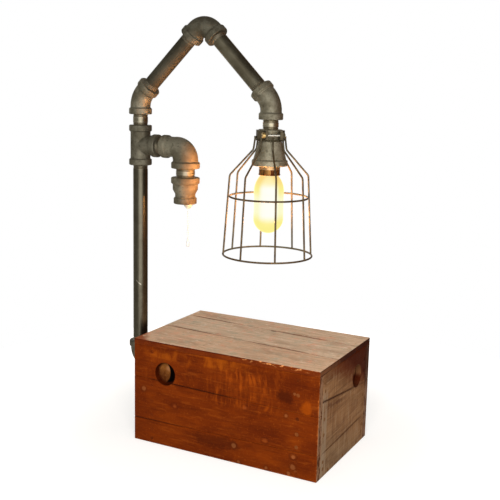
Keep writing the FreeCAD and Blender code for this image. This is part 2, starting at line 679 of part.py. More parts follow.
# ---------------------------------------------------------------- pull switch
def switch_body():
    """Moulded switch body: a cup around the drum, on a threaded stem that the chain hangs through."""
    axis_point = Vector(SPOUT_X, POST_Y, SWITCH_BASE)
    chain_point = Vector(CHAIN_X, POST_Y, SWITCH_BASE)
    drum_point = Vector(SPOUT_X, POST_Y, DRUM_HEIGHT)
    cup = rod(SWITCH_BODY / 2, axis_point, axis_point + UP * SWITCH_HEIGHT)
    cavity = rod(SWITCH_BODY / 2 - SWITCH_WALL, axis_point + UP * SWITCH_FLOOR,
                 axis_point + UP * (SWITCH_HEIGHT + 1))
    stem = rod(STEM / 2, chain_point + DOWN * STEM_LENGTH, chain_point)
    bore = rod(STEM_BORE / 2, chain_point + DOWN * (STEM_LENGTH + 1), chain_point + UP * (SWITCH_FLOOR + 1))
    pin_hole = rod(DRUM_PIN / 2 + RUNNING_FIT, drum_point + FRONT * SWITCH_BODY,
                   drum_point + BACK * SWITCH_BODY)
    return joined(cup.cut(cavity), stem).cut([bore, pin_hole]).Solids[0]


def pull_drum():
    """Grooved drum that the chain pulls round, with the contact cam on its front face."""
    rim, width = DRUM_RIM, DRUM_WIDTH / 2
    groove = DRUM_LINE - CHAIN_BALL / 2 - RUNNING_FIT
    cheek = (DRUM_WIDTH - CHAIN_BALL) / 2 - RUNNING_FIT
    bore = DRUM_PIN / 2 + RUNNING_FIT
    body = turned([(bore, -width), (rim, -width), (rim, -width + cheek), (groove, -width + cheek),
                   (groove, width - cheek), (rim, width - cheek), (rim, width), (bore, width)],
                  Vector(SPOUT_X, POST_Y, DRUM_HEIGHT), BACK)
    cam_end = Vector(SPOUT_X, POST_Y - width - DRUM_CAM_WIDTH, DRUM_HEIGHT)
    cam = Part.makeBox(2 * DRUM_CAM, DRUM_CAM_WIDTH, DRUM_CAM, cam_end + Vector(-DRUM_CAM, 0, -DRUM_CAM / 2))
    cam = cam.cut(rod(bore, cam_end + FRONT, cam_end + BACK * (DRUM_CAM_WIDTH + 1)))
    return joined(body, cam)


def drum_spring():
    """Torsion spring round the pin, between the drum and the switch's back wall."""
    helix = Part.makeHelix(SPRING_PITCH, SPRING_PITCH * SPRING_TURNS, SPRING_RADIUS)
    section = Part.Wire(Part.makeCircle(SPRING_WIRE / 2, Vector(SPRING_RADIUS, 0, 0), BACK))
    coil = Part.Wire(helix.Edges).makePipeShell([section], True, True)
    start = Vector(SPOUT_X, POST_Y + DRUM_WIDTH / 2 + SPRING_WIRE / 2 + RUNNING_FIT, DRUM_HEIGHT)
    coil.Placement = Placement(start, Rotation(UP, BACK))
    return coil.Solids[0]


def contact_blades():
    """Two spring blades that hang from the cap, one on each side of the cam."""
    thick, width, height = BLADE
    top = SWITCH_BASE + SWITCH_HEIGHT
    y = POST_Y - DRUM_WIDTH / 2 - DRUM_CAM_WIDTH / 2 - width / 2
    blades = []
    for side in (-1, 1):
        x = SPOUT_X + side * (DRUM_CAM + thick) - thick / 2
        blades.append(Part.makeBox(thick, width, height, Vector(x, y, top - height)))
    return blades


def chain():
    """Ball chain: a row of balls on short links, hanging from the drum's side."""
    radius, link = CHAIN_BALL / 2, CHAIN_LINK / 2
    top = Vector(CHAIN_X, POST_Y, DRUM_HEIGHT)
    balls = [Part.makeSphere(radius, top + DOWN * (CHAIN_PITCH * index)) for index in range(CHAIN_BALLS)]
    string = rod(link, top, top + DOWN * (CHAIN_PITCH * (CHAIN_BALLS - 1)))
    return joined(string, *balls)


def chain_bell():
    """Turned end bell, closed round the last ball."""
    last = Vector(CHAIN_X, POST_Y, DRUM_HEIGHT - CHAIN_PITCH * (CHAIN_BALLS - 1))
    neck, radius, length = CHAIN_LINK / 2 + RUNNING_FIT, CHAIN_BELL / 2, CHAIN_BELL_LENGTH
    roof = CHAIN_BALL / 2 + 0.6
    outside = turned([(neck, -roof), (neck + 0.7, -roof, 0.3), (radius, -roof + 2.4, 1.2),
                      (radius, length - 3, 0.5), (radius - 0.7, length - roof, 0.4), (0, length - roof),
                      (0, 0), (neck, 0)], last, DOWN)
    return outside.cut(Part.makeSphere(CHAIN_BALL / 2 + RUNNING_FIT, last)).Solids[0]


def bell_mouth():
    """Funnel nut on the stem's end, which guides the chain."""
    wide, tip, height = BELL_MOUTH / 2, BELL_TIP / 2, BELL_MOUTH_HEIGHT
    stem_depth = STEM_LENGTH - BUSHING_DEPTH
    stem = STEM / 2 + STEM_FIT
    top = Vector(CHAIN_X, POST_Y, REDUCER_BOTTOM)
    return turned([(stem, 0), (wide, 0, 0.6), (wide - 0.4, stem_depth - 0.4, 0.8), (tip, height, 0.4),
                   (STEM_BORE / 2, height), (STEM_BORE / 2, stem_depth), (stem, stem_depth)], top, DOWN)


def build_switch():
    cap_base = Vector(SPOUT_X, POST_Y, SWITCH_BASE + SWITCH_HEIGHT)
    half_pin = SWITCH_BODY / 2 - RUNNING_FIT
    drum_point = Vector(SPOUT_X, POST_Y, DRUM_HEIGHT)
    save("switch_body", switch_body())
    save("switch_cap", rod(SWITCH_BODY / 2, cap_base, cap_base + UP * SWITCH_CAP_THICK))
    save("bell_mouth", bell_mouth())
    save("pull_drum", pull_drum())
    save("drum_pin", rod(DRUM_PIN / 2, drum_point + FRONT * half_pin, drum_point + BACK * half_pin))
    save("drum_spring", drum_spring())
    save("contact_blades", *contact_blades())
    save("pull_chain", chain())
    save("chain_bell", chain_bell())


# ---------------------------------------------------------------- lamp head
def lamp_cup():
    """Bell reducer used as the lamp's cup: half-inch mouth up, wide mouth down."""
    length = CUP_LENGTH
    band, body, shoulder, rim = HALF_BAND / 2, HALF_BODY / 2, CUP_SHOULDER / 2, CUP_RIM / 2
    outside = turned([(0, 0), (band, 0, BAND_CORNER), (band, CUP_BAND_LENGTH, BAND_CORNER),
                      (body, CUP_BAND_LENGTH + BAND_SLOPE, BAND_SLOPE),
                      (shoulder, length - CUP_RIM_LENGTH - BAND_SLOPE, BAND_SLOPE),
                      (rim, length - CUP_RIM_LENGTH, BAND_CORNER), (rim, length, BAND_CORNER), (0, length)],
                     Vector(LAMP_X, POST_Y, CUP_TOP), DOWN)
    socket, way, cavity = HALF_PIPE / 2 + THREAD_FIT, HALF_BORE / 2, CUP_CAVITY / 2
    floor = length - CUP_CAVITY_DEPTH
    inside = turned([(0, -1), (socket, -1), (socket, SOCKET), (way, SOCKET), (way, floor - CUP_CAVITY_CONE),
                     (cavity - 1.5, floor), (cavity, floor), (cavity, length + 1), (0, length + 1)],
                    Vector(LAMP_X, POST_Y, CUP_TOP), DOWN)
    return outside.cut(inside).Solids[0]


HOLDER_TOP = CUP_BOTTOM + CUP_CAVITY_DEPTH
CONTACT_FACE = HOLDER_TOP - HOLDER_CEILING - CONTACT_THICK
BULB_RIM = CONTACT_FACE - BULB_CAP_LENGTH


def holder_insulator():
    """Porcelain sleeve and ceiling that hold the screw shell inside the cup."""
    radius, bore, rivet = CUP_CAVITY / 2 - HOLDER_FIT, HOLDER_BORE / 2, RIVET / 2 + RIVET_FIT
    return turned([(rivet, 0), (radius, 0), (radius, HOLDER_LENGTH), (bore, HOLDER_LENGTH),
                   (bore, HOLDER_CEILING), (rivet, HOLDER_CEILING)], Vector(LAMP_X, POST_Y, HOLDER_TOP), DOWN)


def socket_shell():
    """Brass screw shell that shows below the cup, its lower rim rolled."""
    outer, inner = SHELL / 2, SHELL / 2 - SHELL_WALL
    length = HOLDER_TOP - HOLDER_CEILING - (CUP_BOTTOM - SHELL_BELOW_CUP)
    return turned([(inner, 0), (outer, 0), (outer, length - 4 * SHELL_BEAD, SHELL_BEAD),
                   (outer + SHELL_BEAD, length - 3 * SHELL_BEAD, SHELL_BEAD),
                   (outer + SHELL_BEAD, length - SHELL_BEAD), (outer, length), (inner, length)],
                  Vector(LAMP_X, POST_Y, HOLDER_TOP - HOLDER_CEILING), DOWN)


def centre_contact():
    """Brass contact button, riveted through the insulator's ceiling."""
    return turned([(0, 0), (RIVET / 2, 0), (RIVET / 2, HOLDER_CEILING), (CONTACT / 2, HOLDER_CEILING),
                   (CONTACT / 2, HOLDER_CEILING + CONTACT_THICK), (0, HOLDER_CEILING + CONTACT_THICK)],
                  Vector(LAMP_X, POST_Y, HOLDER_TOP), DOWN)


def bulb_cap():
    """Screw cap of the bulb, from its contact button down to its lower rim."""
    outer, wall, button, length = BULB_CAP / 2, BULB_CAP_WALL, BULB_BUTTON / 2, BULB_CAP_LENGTH
    edge, height, crown = outer - BULB_CAP_EDGE_INSET, BULB_BUTTON_HEIGHT, BULB_CAP_CROWN
    return turned([(0, 0), (button, 0, wall), (button + wall, height), (edge, BULB_CAP_EDGE),
                   (outer, crown, 2 * wall), (outer, length), (outer - wall, length),
                   (outer - wall, crown + wall), (edge - wall, BULB_CAP_EDGE + 2 * wall),
                   (0, height + 2 * wall)],
                  Vector(LAMP_X, POST_Y, CONTACT_FACE), DOWN)


def bulb_outline(inset):
    """Half outline of the bulb, drawn in by inset, as edges from the neck to the tip."""
    def point(radius, distance):
        return Vector(LAMP_X, POST_Y + radius, BULB_RIM - distance)
    neck, belly = BULB_NECK / 2 - inset, BULB / 2 - inset
    round_start = BULB_LENGTH - BULB / 2
    top, below, bottom = -BULB_NECK_IN_CAP, BULB_NECK_BELOW_CAP, BULB_SHOULDER
    shoulder_mid = point(neck + 0.66 * (belly - neck), below + 0.4 * (bottom - below))
    tip_angle = math.radians(45)
    tip_mid = point(belly * math.cos(tip_angle), round_start + belly * math.sin(tip_angle))
    edges = [Part.LineSegment(point(neck, top), point(neck, below)),
             Part.Arc(point(neck, below), shoulder_mid, point(belly, bottom)),
             Part.LineSegment(point(belly, bottom), point(belly, round_start)),
             Part.Arc(point(belly, round_start), tip_mid, point(0, round_start + belly))]
    return [edge.toShape() for edge in edges], point(neck, top), point(0, round_start + belly)


def bulb_glass():
    """Tubular glass envelope, its neck cemented into the cap."""
    outer, outer_top, outer_tip = bulb_outline(0)
    inner, inner_top, inner_tip = bulb_outline(GLASS_WALL)
    closing = [Part.LineSegment(outer_top, inner_top).toShape(),
               Part.LineSegment(outer_tip, inner_tip).toShape()]
    wire = Part.Wire(Part.__sortEdges__(outer + inner + closing))
    return Part.Face(wire).revolve(Vector(LAMP_X, POST_Y, 0), UP, 360)


def bulb_stem():
    """Glass stem that closes the neck and carries the filament."""
    flare, stem = BULB_NECK / 2 - GLASS_WALL, STEM_GLASS / 2
    return turned([(0, -BULB_NECK_IN_CAP), (flare, -BULB_NECK_IN_CAP), (flare, -BULB_NECK_IN_CAP + 1.5),
                   (stem, 6, 4), (stem, STEM_GLASS_LENGTH, 1), (0, STEM_GLASS_LENGTH)],
                  Vector(LAMP_X, POST_Y, BULB_RIM), DOWN)


def filament():
    """Upright filament wires in hairpins round the stem, joined into one zigzag."""
    corners = []
    for index in range(2 * FILAMENT_LOOPS):
        angle = math.pi * index / FILAMENT_LOOPS
        low = index % 4 in (1, 2)
        radius = FILAMENT_LOW_RADIUS if low else FILAMENT_TOP_RADIUS
        depth = STEM_GLASS_LENGTH - (0 if low else FILAMENT_LENGTH)
        corners.append(Vector(LAMP_X + radius * math.cos(angle), POST_Y + radius * math.sin(angle),
                              BULB_RIM - depth))
    runs = [rod(FILAMENT_WIRE / 2, corners[index], corners[index + 1]) for index in range(len(corners) - 1)]
    joints = [Part.makeSphere(FILAMENT_WIRE / 2, corner) for corner in corners]
    lead = rod(FILAMENT_WIRE / 2, corners[0], Vector(LAMP_X + STEM_GLASS / 2, POST_Y, corners[0].z))
    return joined(*(runs + joints + [lead]))


def build_head():
    axis_point = Vector(LAMP_X, POST_Y, 0)
    save("drop_nipple", pipe(axis_point + UP * (HEAD_TOP + INSERTION),
                             axis_point + UP * (CUP_TOP - INSERTION), threads=NIPPLE_THREADS))
    save("lamp_cup", lamp_cup())
    save("holder_insulator", holder_insulator())
    save("socket_shell", socket_shell())
    save("centre_contact", centre_contact())
    save("bulb_cap", bulb_cap())
    save("bulb_glass", bulb_glass())
    save("bulb_stem", bulb_stem())
    save("filament", filament())


# ---------------------------------------------------------------- cage
COLLAR_INNER = HALF_BAND / 2 + COLLAR_FIT
COLLAR_OUTER = COLLAR_INNER + COLLAR_THICK
COLLAR_TOP = CUP_TOP - COLLAR_BELOW_TOP
COLLAR_BOTTOM = COLLAR_TOP - COLLAR_HEIGHT
WIRE_TOP_RADIUS = COLLAR_OUTER + WIRE / 2 + WIRE_TOUCH
SHOULDER_Z = COLLAR_BOTTOM - WIRE_STRAIGHT - WIRE_SHOULDER_DROP
FOOT_Z = SHOULDER_Z - CAGE_FOOT_DROP


def about_lamp(shape, turn):
    """Place a shape drawn about the origin: turned about Z, then moved to the lamp's axis."""
    shape.Placement = Placement(Vector(LAMP_X, POST_Y, 0), Rotation(UP, turn))
    return shape


def collar():
    """Split strap round the cup's band, with two ears for the clamp screw and a ring for the wires."""
    bottom = Vector(0, 0, COLLAR_BOTTOM)
    top = Vector(0, 0, COLLAR_TOP)
    strap = rod(COLLAR_OUTER, bottom, top).cut(rod(COLLAR_INNER, bottom, top))
    gap = Part.makeBox(EAR_REACH, CLAMP_GAP, COLLAR_HEIGHT, Vector(0, -CLAMP_GAP / 2, COLLAR_BOTTOM))
    pieces = [strap.cut(gap)]
    root = math.sqrt(COLLAR_INNER ** 2 - (CLAMP_GAP / 2) ** 2)
    for side in (-1, 1):
        inner = side * CLAMP_GAP / 2
        corner = Vector(root, min(inner, inner + side * EAR_THICK), COLLAR_BOTTOM)
        ear = Part.makeBox(EAR_REACH - root, EAR_THICK, COLLAR_HEIGHT, corner)
        pieces.append(ear.cut(rod(COLLAR_INNER, bottom, top)))
    ring_z = COLLAR_BOTTOM - WIRE / 2 + WIRE_TOUCH
    pieces.append(Part.makeTorus(COLLAR_OUTER - WIRE / 2, WIRE / 2, Vector(0, 0, ring_z)))
    middle = COLLAR_BOTTOM + COLLAR_HEIGHT / 2
    hole = rod(CLAMP_SCREW / 2 + SCREW_FIT, Vector(CLAMP_SCREW_RADIUS, -EAR_REACH, middle),
               Vector(CLAMP_SCREW_RADIUS, EAR_REACH, middle))
    return joined(*pieces).cut(hole).Solids[0]


def cage_wire():
    """One wire in its own plane: upright at the collar, out over the shoulder, down to the foot."""
    points = [Vector(WIRE_TOP_RADIUS, 0, COLLAR_BOTTOM + WIRE_TOP_OVERLAP),
              Vector(WIRE_TOP_RADIUS, 0, COLLAR_BOTTOM),
              Vector(WIRE_TOP_RADIUS + WIRE_FLARE, 0, COLLAR_BOTTOM - WIRE_STRAIGHT),
              Vector(CAGE_SHOULDER_RADIUS, 0, SHOULDER_Z),
              Vector(CAGE_FOOT_RADIUS, 0, FOOT_Z + WIRE / 2 + WIRE_TOUCH)]
    return bent_rod(points, WIRE / 2, WIRE_BEND)


def bent_rod(points, radius, bend_radius):
    """Round rod along straight runs joined by tangent arcs."""
    pieces = []
    start = points[0]
    for index in range(1, len(points) - 1):
        corner = points[index]
        before = (points[index - 1] - corner).normalize()
        after = (points[index + 1] - corner).normalize()
        opening = before.getAngle(after)
        back = bend_radius / math.tan(opening / 2)
        pieces.append(rod(radius, start, corner + before * back))
        pieces.append(bend_solid(corner, before, after, back, radius, bend_radius))
        start = corner + after * back
    pieces.append(rod(radius, start, points[-1]))
    return joined(*pieces)


def build_cage():
    save("cage_collar", about_lamp(collar(), CLAMP_TURN))
    wires = [about_lamp(cage_wire(), WIRE_TURN + 360 * index / WIRE_COUNT) for index in range(WIRE_COUNT)]
    save("cage_wires", *wires)

    mid_share = CAGE_MID_DROP / CAGE_FOOT_DROP
    mid_radius = CAGE_SHOULDER_RADIUS + (CAGE_FOOT_RADIUS - CAGE_SHOULDER_RADIUS) * mid_share
    mid_ring = Part.makeTorus(mid_radius - WIRE - 2 * WIRE_TOUCH, WIRE / 2,
                              Vector(0, 0, SHOULDER_Z - CAGE_MID_DROP))
    save("cage_middle_ring", about_lamp(mid_ring, 0).Solids[0])
    foot_ring = Part.makeTorus(CAGE_FOOT_RADIUS, WIRE / 2, Vector(0, 0, FOOT_Z))
    save("cage_bottom_ring", about_lamp(foot_ring, 0).Solids[0])

    middle = COLLAR_BOTTOM + COLLAR_HEIGHT / 2
    ear_face = CLAMP_GAP / 2 + EAR_THICK
    head_start = Vector(CLAMP_SCREW_RADIUS, -ear_face - CLAMP_HEAD_THICK, middle)
    screw_end = Vector(CLAMP_SCREW_RADIUS, ear_face + CLAMP_NUT_THICK + CLAMP_SPARE, middle)
    head = turned([(0, 0), (CLAMP_HEAD / 2, 0, 0.9), (CLAMP_HEAD / 2, CLAMP_HEAD_THICK), (0, CLAMP_HEAD_THICK)],
                  head_start, BACK)
    slot = Part.makeBox(CLAMP_HEAD, 1.0, 1.0, head_start + Vector(-CLAMP_HEAD / 2, 0, -0.5))
    screw = joined(head.cut(slot), rod(CLAMP_SCREW / 2, head_start + BACK * CLAMP_HEAD_THICK, screw_end))
    save("clamp_screw", about_lamp(screw, CLAMP_TURN))
    nut = hexagon(CLAMP_NUT, CLAMP_NUT_THICK, Vector(CLAMP_SCREW_RADIUS, ear_face, middle), BACK,
                  CLAMP_SCREW + 2 * THREAD_FIT)
    turn = Placement(Vector(LAMP_X, POST_Y, 0), Rotation(UP, CLAMP_TURN))
    nut.Placement = turn.multiply(nut.Placement)
    save("clamp_nut", nut)


# ---------------------------------------------------------------- inner wiring
def build_wiring():
    cord_x, rise_x = HALF_LENGTH - GROMMET_FROM_END, FLEX_RISE_FROM_END - HALF_LENGTH
    supply = bent_rod([Vector(cord_x, HALF_DEPTH + GROMMET_LIP_THICK, GROMMET_HEIGHT),
                       Vector(cord_x, POST_Y, GROMMET_HEIGHT), Vector(rise_x, POST_Y, GROMMET_HEIGHT),
                       Vector(rise_x, POST_Y, BASE_HEIGHT), BASE_CENTRE, TEE_CENTRE + UP * TEE_REACH],
                      FLEX / 2, FLEX_BEND)
    switch_top = Vector(SPOUT_X, POST_Y, SWITCH_BASE + SWITCH_HEIGHT + SWITCH_CAP_THICK)
    beside_supply = TEE_CENTRE + RIGHT * (FLEX / 2 + RUNNING_FIT)
    switch_lead = bent_rod([switch_top, SPOUT_CENTRE, beside_supply], FLEX / 2, FLEX_BEND)
    save("supply_flex", supply, switch_lead)

    arch = bent_rod([TEE_CENTRE + UP * TEE_REACH, LOWER_BEND_CENTRE, TOP_CENTRE, UPPER_BEND_CENTRE,
                     Vector(LAMP_X, POST_Y, HEAD_TOP)], FLEX / 2, FLEX_BEND)
    save("arch_flex", arch)
    save("head_flex", rod(FLEX / 2, Vector(LAMP_X, POST_Y, HOLDER_TOP), Vector(LAMP_X, POST_Y, HEAD_TOP)))


os.makedirs("parts", exist_ok=True)
build_crate()
build_base()
build_post()
build_arch()
build_spout()
build_switch()
build_head()
build_cage()
build_wiring()
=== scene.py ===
import math

import bpy
from mathutils import Matrix, Vector


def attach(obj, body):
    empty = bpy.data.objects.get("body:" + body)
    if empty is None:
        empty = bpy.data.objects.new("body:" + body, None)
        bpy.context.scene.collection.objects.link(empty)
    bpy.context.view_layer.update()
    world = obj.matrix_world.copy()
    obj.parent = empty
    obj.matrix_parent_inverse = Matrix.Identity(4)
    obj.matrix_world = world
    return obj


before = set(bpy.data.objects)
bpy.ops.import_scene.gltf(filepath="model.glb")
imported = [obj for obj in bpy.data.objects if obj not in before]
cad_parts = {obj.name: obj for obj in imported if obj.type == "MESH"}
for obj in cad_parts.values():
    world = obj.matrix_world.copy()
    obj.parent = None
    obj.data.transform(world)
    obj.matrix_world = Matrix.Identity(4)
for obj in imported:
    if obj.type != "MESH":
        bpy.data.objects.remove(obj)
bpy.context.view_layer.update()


# Lid: three planed softwood boards whose seams run a little out of true. Their upper faces have
# greyed to a pale tan with old dirt in the grain, and their edges keep the red-brown stain of the
# walls. They lie on the four walls and are nailed down into the end walls.
class Socket:
    """A value between two nodes. Python's operators on it add Math nodes to the same finish."""

    def __init__(self, finish, output):
        self.finish, self.output = finish, output

    def math(self, operation, *values):
        return self.finish.node("ShaderNodeMath", {"operation": operation}, dict(enumerate(values)))

    def __add__(self, other):
        return self.math("ADD", self, other)

    def __radd__(self, other):
        return self.math("ADD", other, self)

    def __sub__(self, other):
        return self.math("SUBTRACT", self, other)

    def __rsub__(self, other):
        return self.math("SUBTRACT", other, self)

    def __mul__(self, other):
        return self.math("MULTIPLY", self, other)

    def __truediv__(self, other):
        return self.math("DIVIDE", self, other)

    def __abs__(self):
        return self.math("ABSOLUTE", self)

    def sin(self):
        return self.math("SINE", self)

    def fract(self):
        return self.math("FRACT", self)

    def root(self):
        return self.math("SQRT", self)

    def least(self, other):
        return self.math("MINIMUM", self, other)

    def most(self, other):
        return self.math("MAXIMUM", self, other)

    def rise(self, low, high):
        """0 below low, 1 above high and smooth between; with low over high it falls instead."""
        upward = low < high
        limits = {"From Min": min(low, high), "From Max": max(low, high),
                  "To Min": 0.0 if upward else 1.0, "To Max": 1.0 if upward else 0.0}
        return self.finish.node("ShaderNodeMapRange", {"interpolation_type": "SMOOTHSTEP"},
                                {"Value": self, **limits}, "Result")

    def band(self, low, high, soft):
        """1 between low and high, 0 outside, over a soft edge of that width."""
        return self.rise(low - soft, low) * self.rise(high + soft, high)


class Finish:
    """One material of the lamp, mixed from nodes in the object's own coordinates."""

    def __init__(self, name, kept_in=bpy.data.materials):
        self.material = kept_in.new(name)
        self.material.use_nodes = True
        self.tree = self.material.node_tree
        self.tree.nodes.clear()
        self.place = self.node("ShaderNodeTexCoord", output="Object")
        self.x, self.y, self.z = self.parts_of(self.place)

    def node(self, kind, settings=None, sockets=None, output=0):
        """Add a node: its settings first, then the values or links of its sockets."""
        made = self.tree.nodes.new(kind)
        for name, value in (settings or {}).items():
            setattr(made, name, value)
        for key, value in (sockets or {}).items():
            if isinstance(value, Socket):
                self.tree.links.new(value.output, made.inputs[key])
            else:
                made.inputs[key].default_value = value
        return Socket(self, made.outputs[output]) if made.outputs else made

    def parts_of(self, vector):
        split = self.node("ShaderNodeSeparateXYZ", {}, {0: vector}).output.node
        return [Socket(self, output) for output in split.outputs]

    def point(self, x, y, z):
        return self.node("ShaderNodeCombineXYZ", {}, {0: x, 1: y, 2: z})

    def noise(self, place, scale=1.0, detail=2.0, roughness=0.5, distortion=0.0):
        return self.node("ShaderNodeTexNoise", {}, {
            "Vector": place, "Scale": scale, "Detail": detail, "Roughness": roughness,
            "Distortion": distortion}, "Fac")

    def mix(self, first, second, share):
        """Colour between first and second, by share."""
        settings = {"data_type": "RGBA", "clamp_factor": True}
        return self.node("ShaderNodeMix", settings, {0: share, 6: first, 7: second}, 2)

    def bump(self, height, distance, strength=1.0):
        return self.node("ShaderNodeBump", {}, {
            "Height": height, "Distance": distance, "Strength": strength}, "Normal")

    def surface(self, **sockets):
        """Close the finish with one Principled shader. Underscores in names stand for spaces."""
        named = {name.replace("_", " "): value for name, value in sockets.items()}
        shader = self.node("ShaderNodeBsdfPrincipled", {}, named)
        self.node("ShaderNodeOutputMaterial", {}, {"Surface": shader})

    def paint(self, *nodes):
        for name in nodes:
            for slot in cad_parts[name].material_slots:
                slot.material = self.material


def tone(red, green, blue):
    """Linear colour of a tone read on a paint card from 0 to 255."""
    def linear(value):
        share = value / 255
        return share / 12.92 if share <= 0.04045 else ((share + 0.055) / 1.055) ** 2.4
    return linear(red), linear(green), linear(blue), 1.0


CRATE_HALF_LENGTH, CRATE_HALF_DEPTH, CRATE_HEIGHT = 0.143, 0.091, 0.151


class Timber(Finish):
    """Sawn softwood: growth rings about a pith beside the board, fibres and stain along it."""

    def __init__(self, name, along, across, through, seed, pith=(0.02, 0.035), ring=0.0042):
        super().__init__(name)
        axes = {"x": self.x, "y": self.y, "z": self.z}
        self.along, self.across, self.through = axes[along], axes[across], axes[through]
        self.seed = seed
        slow = self.streaks(5, 16) - 0.5
        wander = self.streaks(16, 60, 3) - 0.5
        out = self.across - pith[0] + slow * 0.05
        deep = self.through - pith[1] + slow * 0.02
        rings = ((out * out + deep * deep).root() / ring + wander * 1.6).fract()
        self.late = rings.rise(0.35, 0.9) * rings.rise(1.0, 0.93)
        self.fibre = self.streaks(22, 900, 5, 0.65)
        self.blotch = self.streaks(14, 34, 4, 0.6)
        self.grime = self.noise(self.point(self.x + seed, self.y, self.z), 105, 6, 0.68)

    def streaks(self, lengthwise, crosswise, detail=2.0, roughness=0.5):
        """Noise drawn out along the board, at these many features to the metre each way."""
        place = self.point(self.along * lengthwise + self.seed, self.across * crosswise,
                           self.through * crosswise)
        return self.noise(place, 1.0, detail, roughness)

    def from_edge(self):
        """Distance to the crate's nearest outer edge."""
        ex = CRATE_HALF_LENGTH - abs(self.x)
        ey = CRATE_HALF_DEPTH - abs(self.y)
        ez = self.z.least(CRATE_HEIGHT - self.z)
        low, high = ex.least(ey).least(ez), ex.most(ey).most(ez)
        return ex + ey + ez - low - high

    def from_seam(self, start, end, half=CRATE_HALF_LENGTH):
        """Distance to a seam that lies at start and at end of the board's length."""
        slope = (end - start) / (2 * half)
        return abs(self.across - (self.along + half) * slope - start)

    def spot(self, first, second, radius, ragged=0.4, long=1.0):
        """Soft mark on the board's face, 1 in its middle, at (along, across)."""
        dx, dy = (self.along - first) / long, self.across - second
        far = (dx * dx + dy * dy).root() + (self.grime - 0.5) * radius * ragged * 2
        return far.rise(radius, radius * 0.45)

    def bored(self, first, second, radius):
        """1 on the wall of a round hole bored through the board at (along, across)."""
        dx, dy = self.along - first, self.across - second
        return (dx * dx + dy * dy).root().rise(radius + 0.0006, radius + 0.0002)

    def stain(self):
        """Orange-brown varnish over stain, cloudy, speckled and streaked along the board."""
        self.cloud = self.noise(self.point(self.x * 16, self.y * 16, self.z * 30), 1.0, 4, 0.6)
        colour = self.mix(tone(113, 44, 6), tone(90, 31, 5), self.blotch.rise(0.35, 0.7))
        colour = self.mix(colour, tone(137, 59, 8), self.cloud.rise(0.5, 0.74) * 0.6)
        colour = self.mix(colour, tone(74, 23, 5), self.cloud.rise(0.47, 0.28) * 0.6)
        colour = self.mix(colour, tone(80, 28, 6), self.late * 0.22)
        colour = self.mix(colour, tone(150, 72, 16), self.fibre.rise(0.54, 0.78) * 0.4)
        colour = self.mix(colour, tone(62, 20, 5), self.fibre.rise(0.44, 0.27) * 0.45)
        speckle = self.noise(self.place, 330, 3, 0.6)
        colour = self.mix(colour, tone(160, 78, 22), speckle.rise(0.56, 0.72) * 0.35)
        coarse = self.streaks(34, 260, 3, 0.6)
        colour = self.mix(colour, tone(152, 74, 20), coarse.rise(0.55, 0.72) * 0.3)
        return self.mix(colour, tone(70, 24, 5), coarse.rise(0.44, 0.28) * 0.3)

    def facing(self, axis):
        """1 on faces whose normal lies along that axis, either way."""
        normal = self.node("ShaderNodeTexCoord", output="Normal")
        part = self.parts_of(normal)["xyz".index(axis)]
        return abs(part).rise(0.55, 0.8)


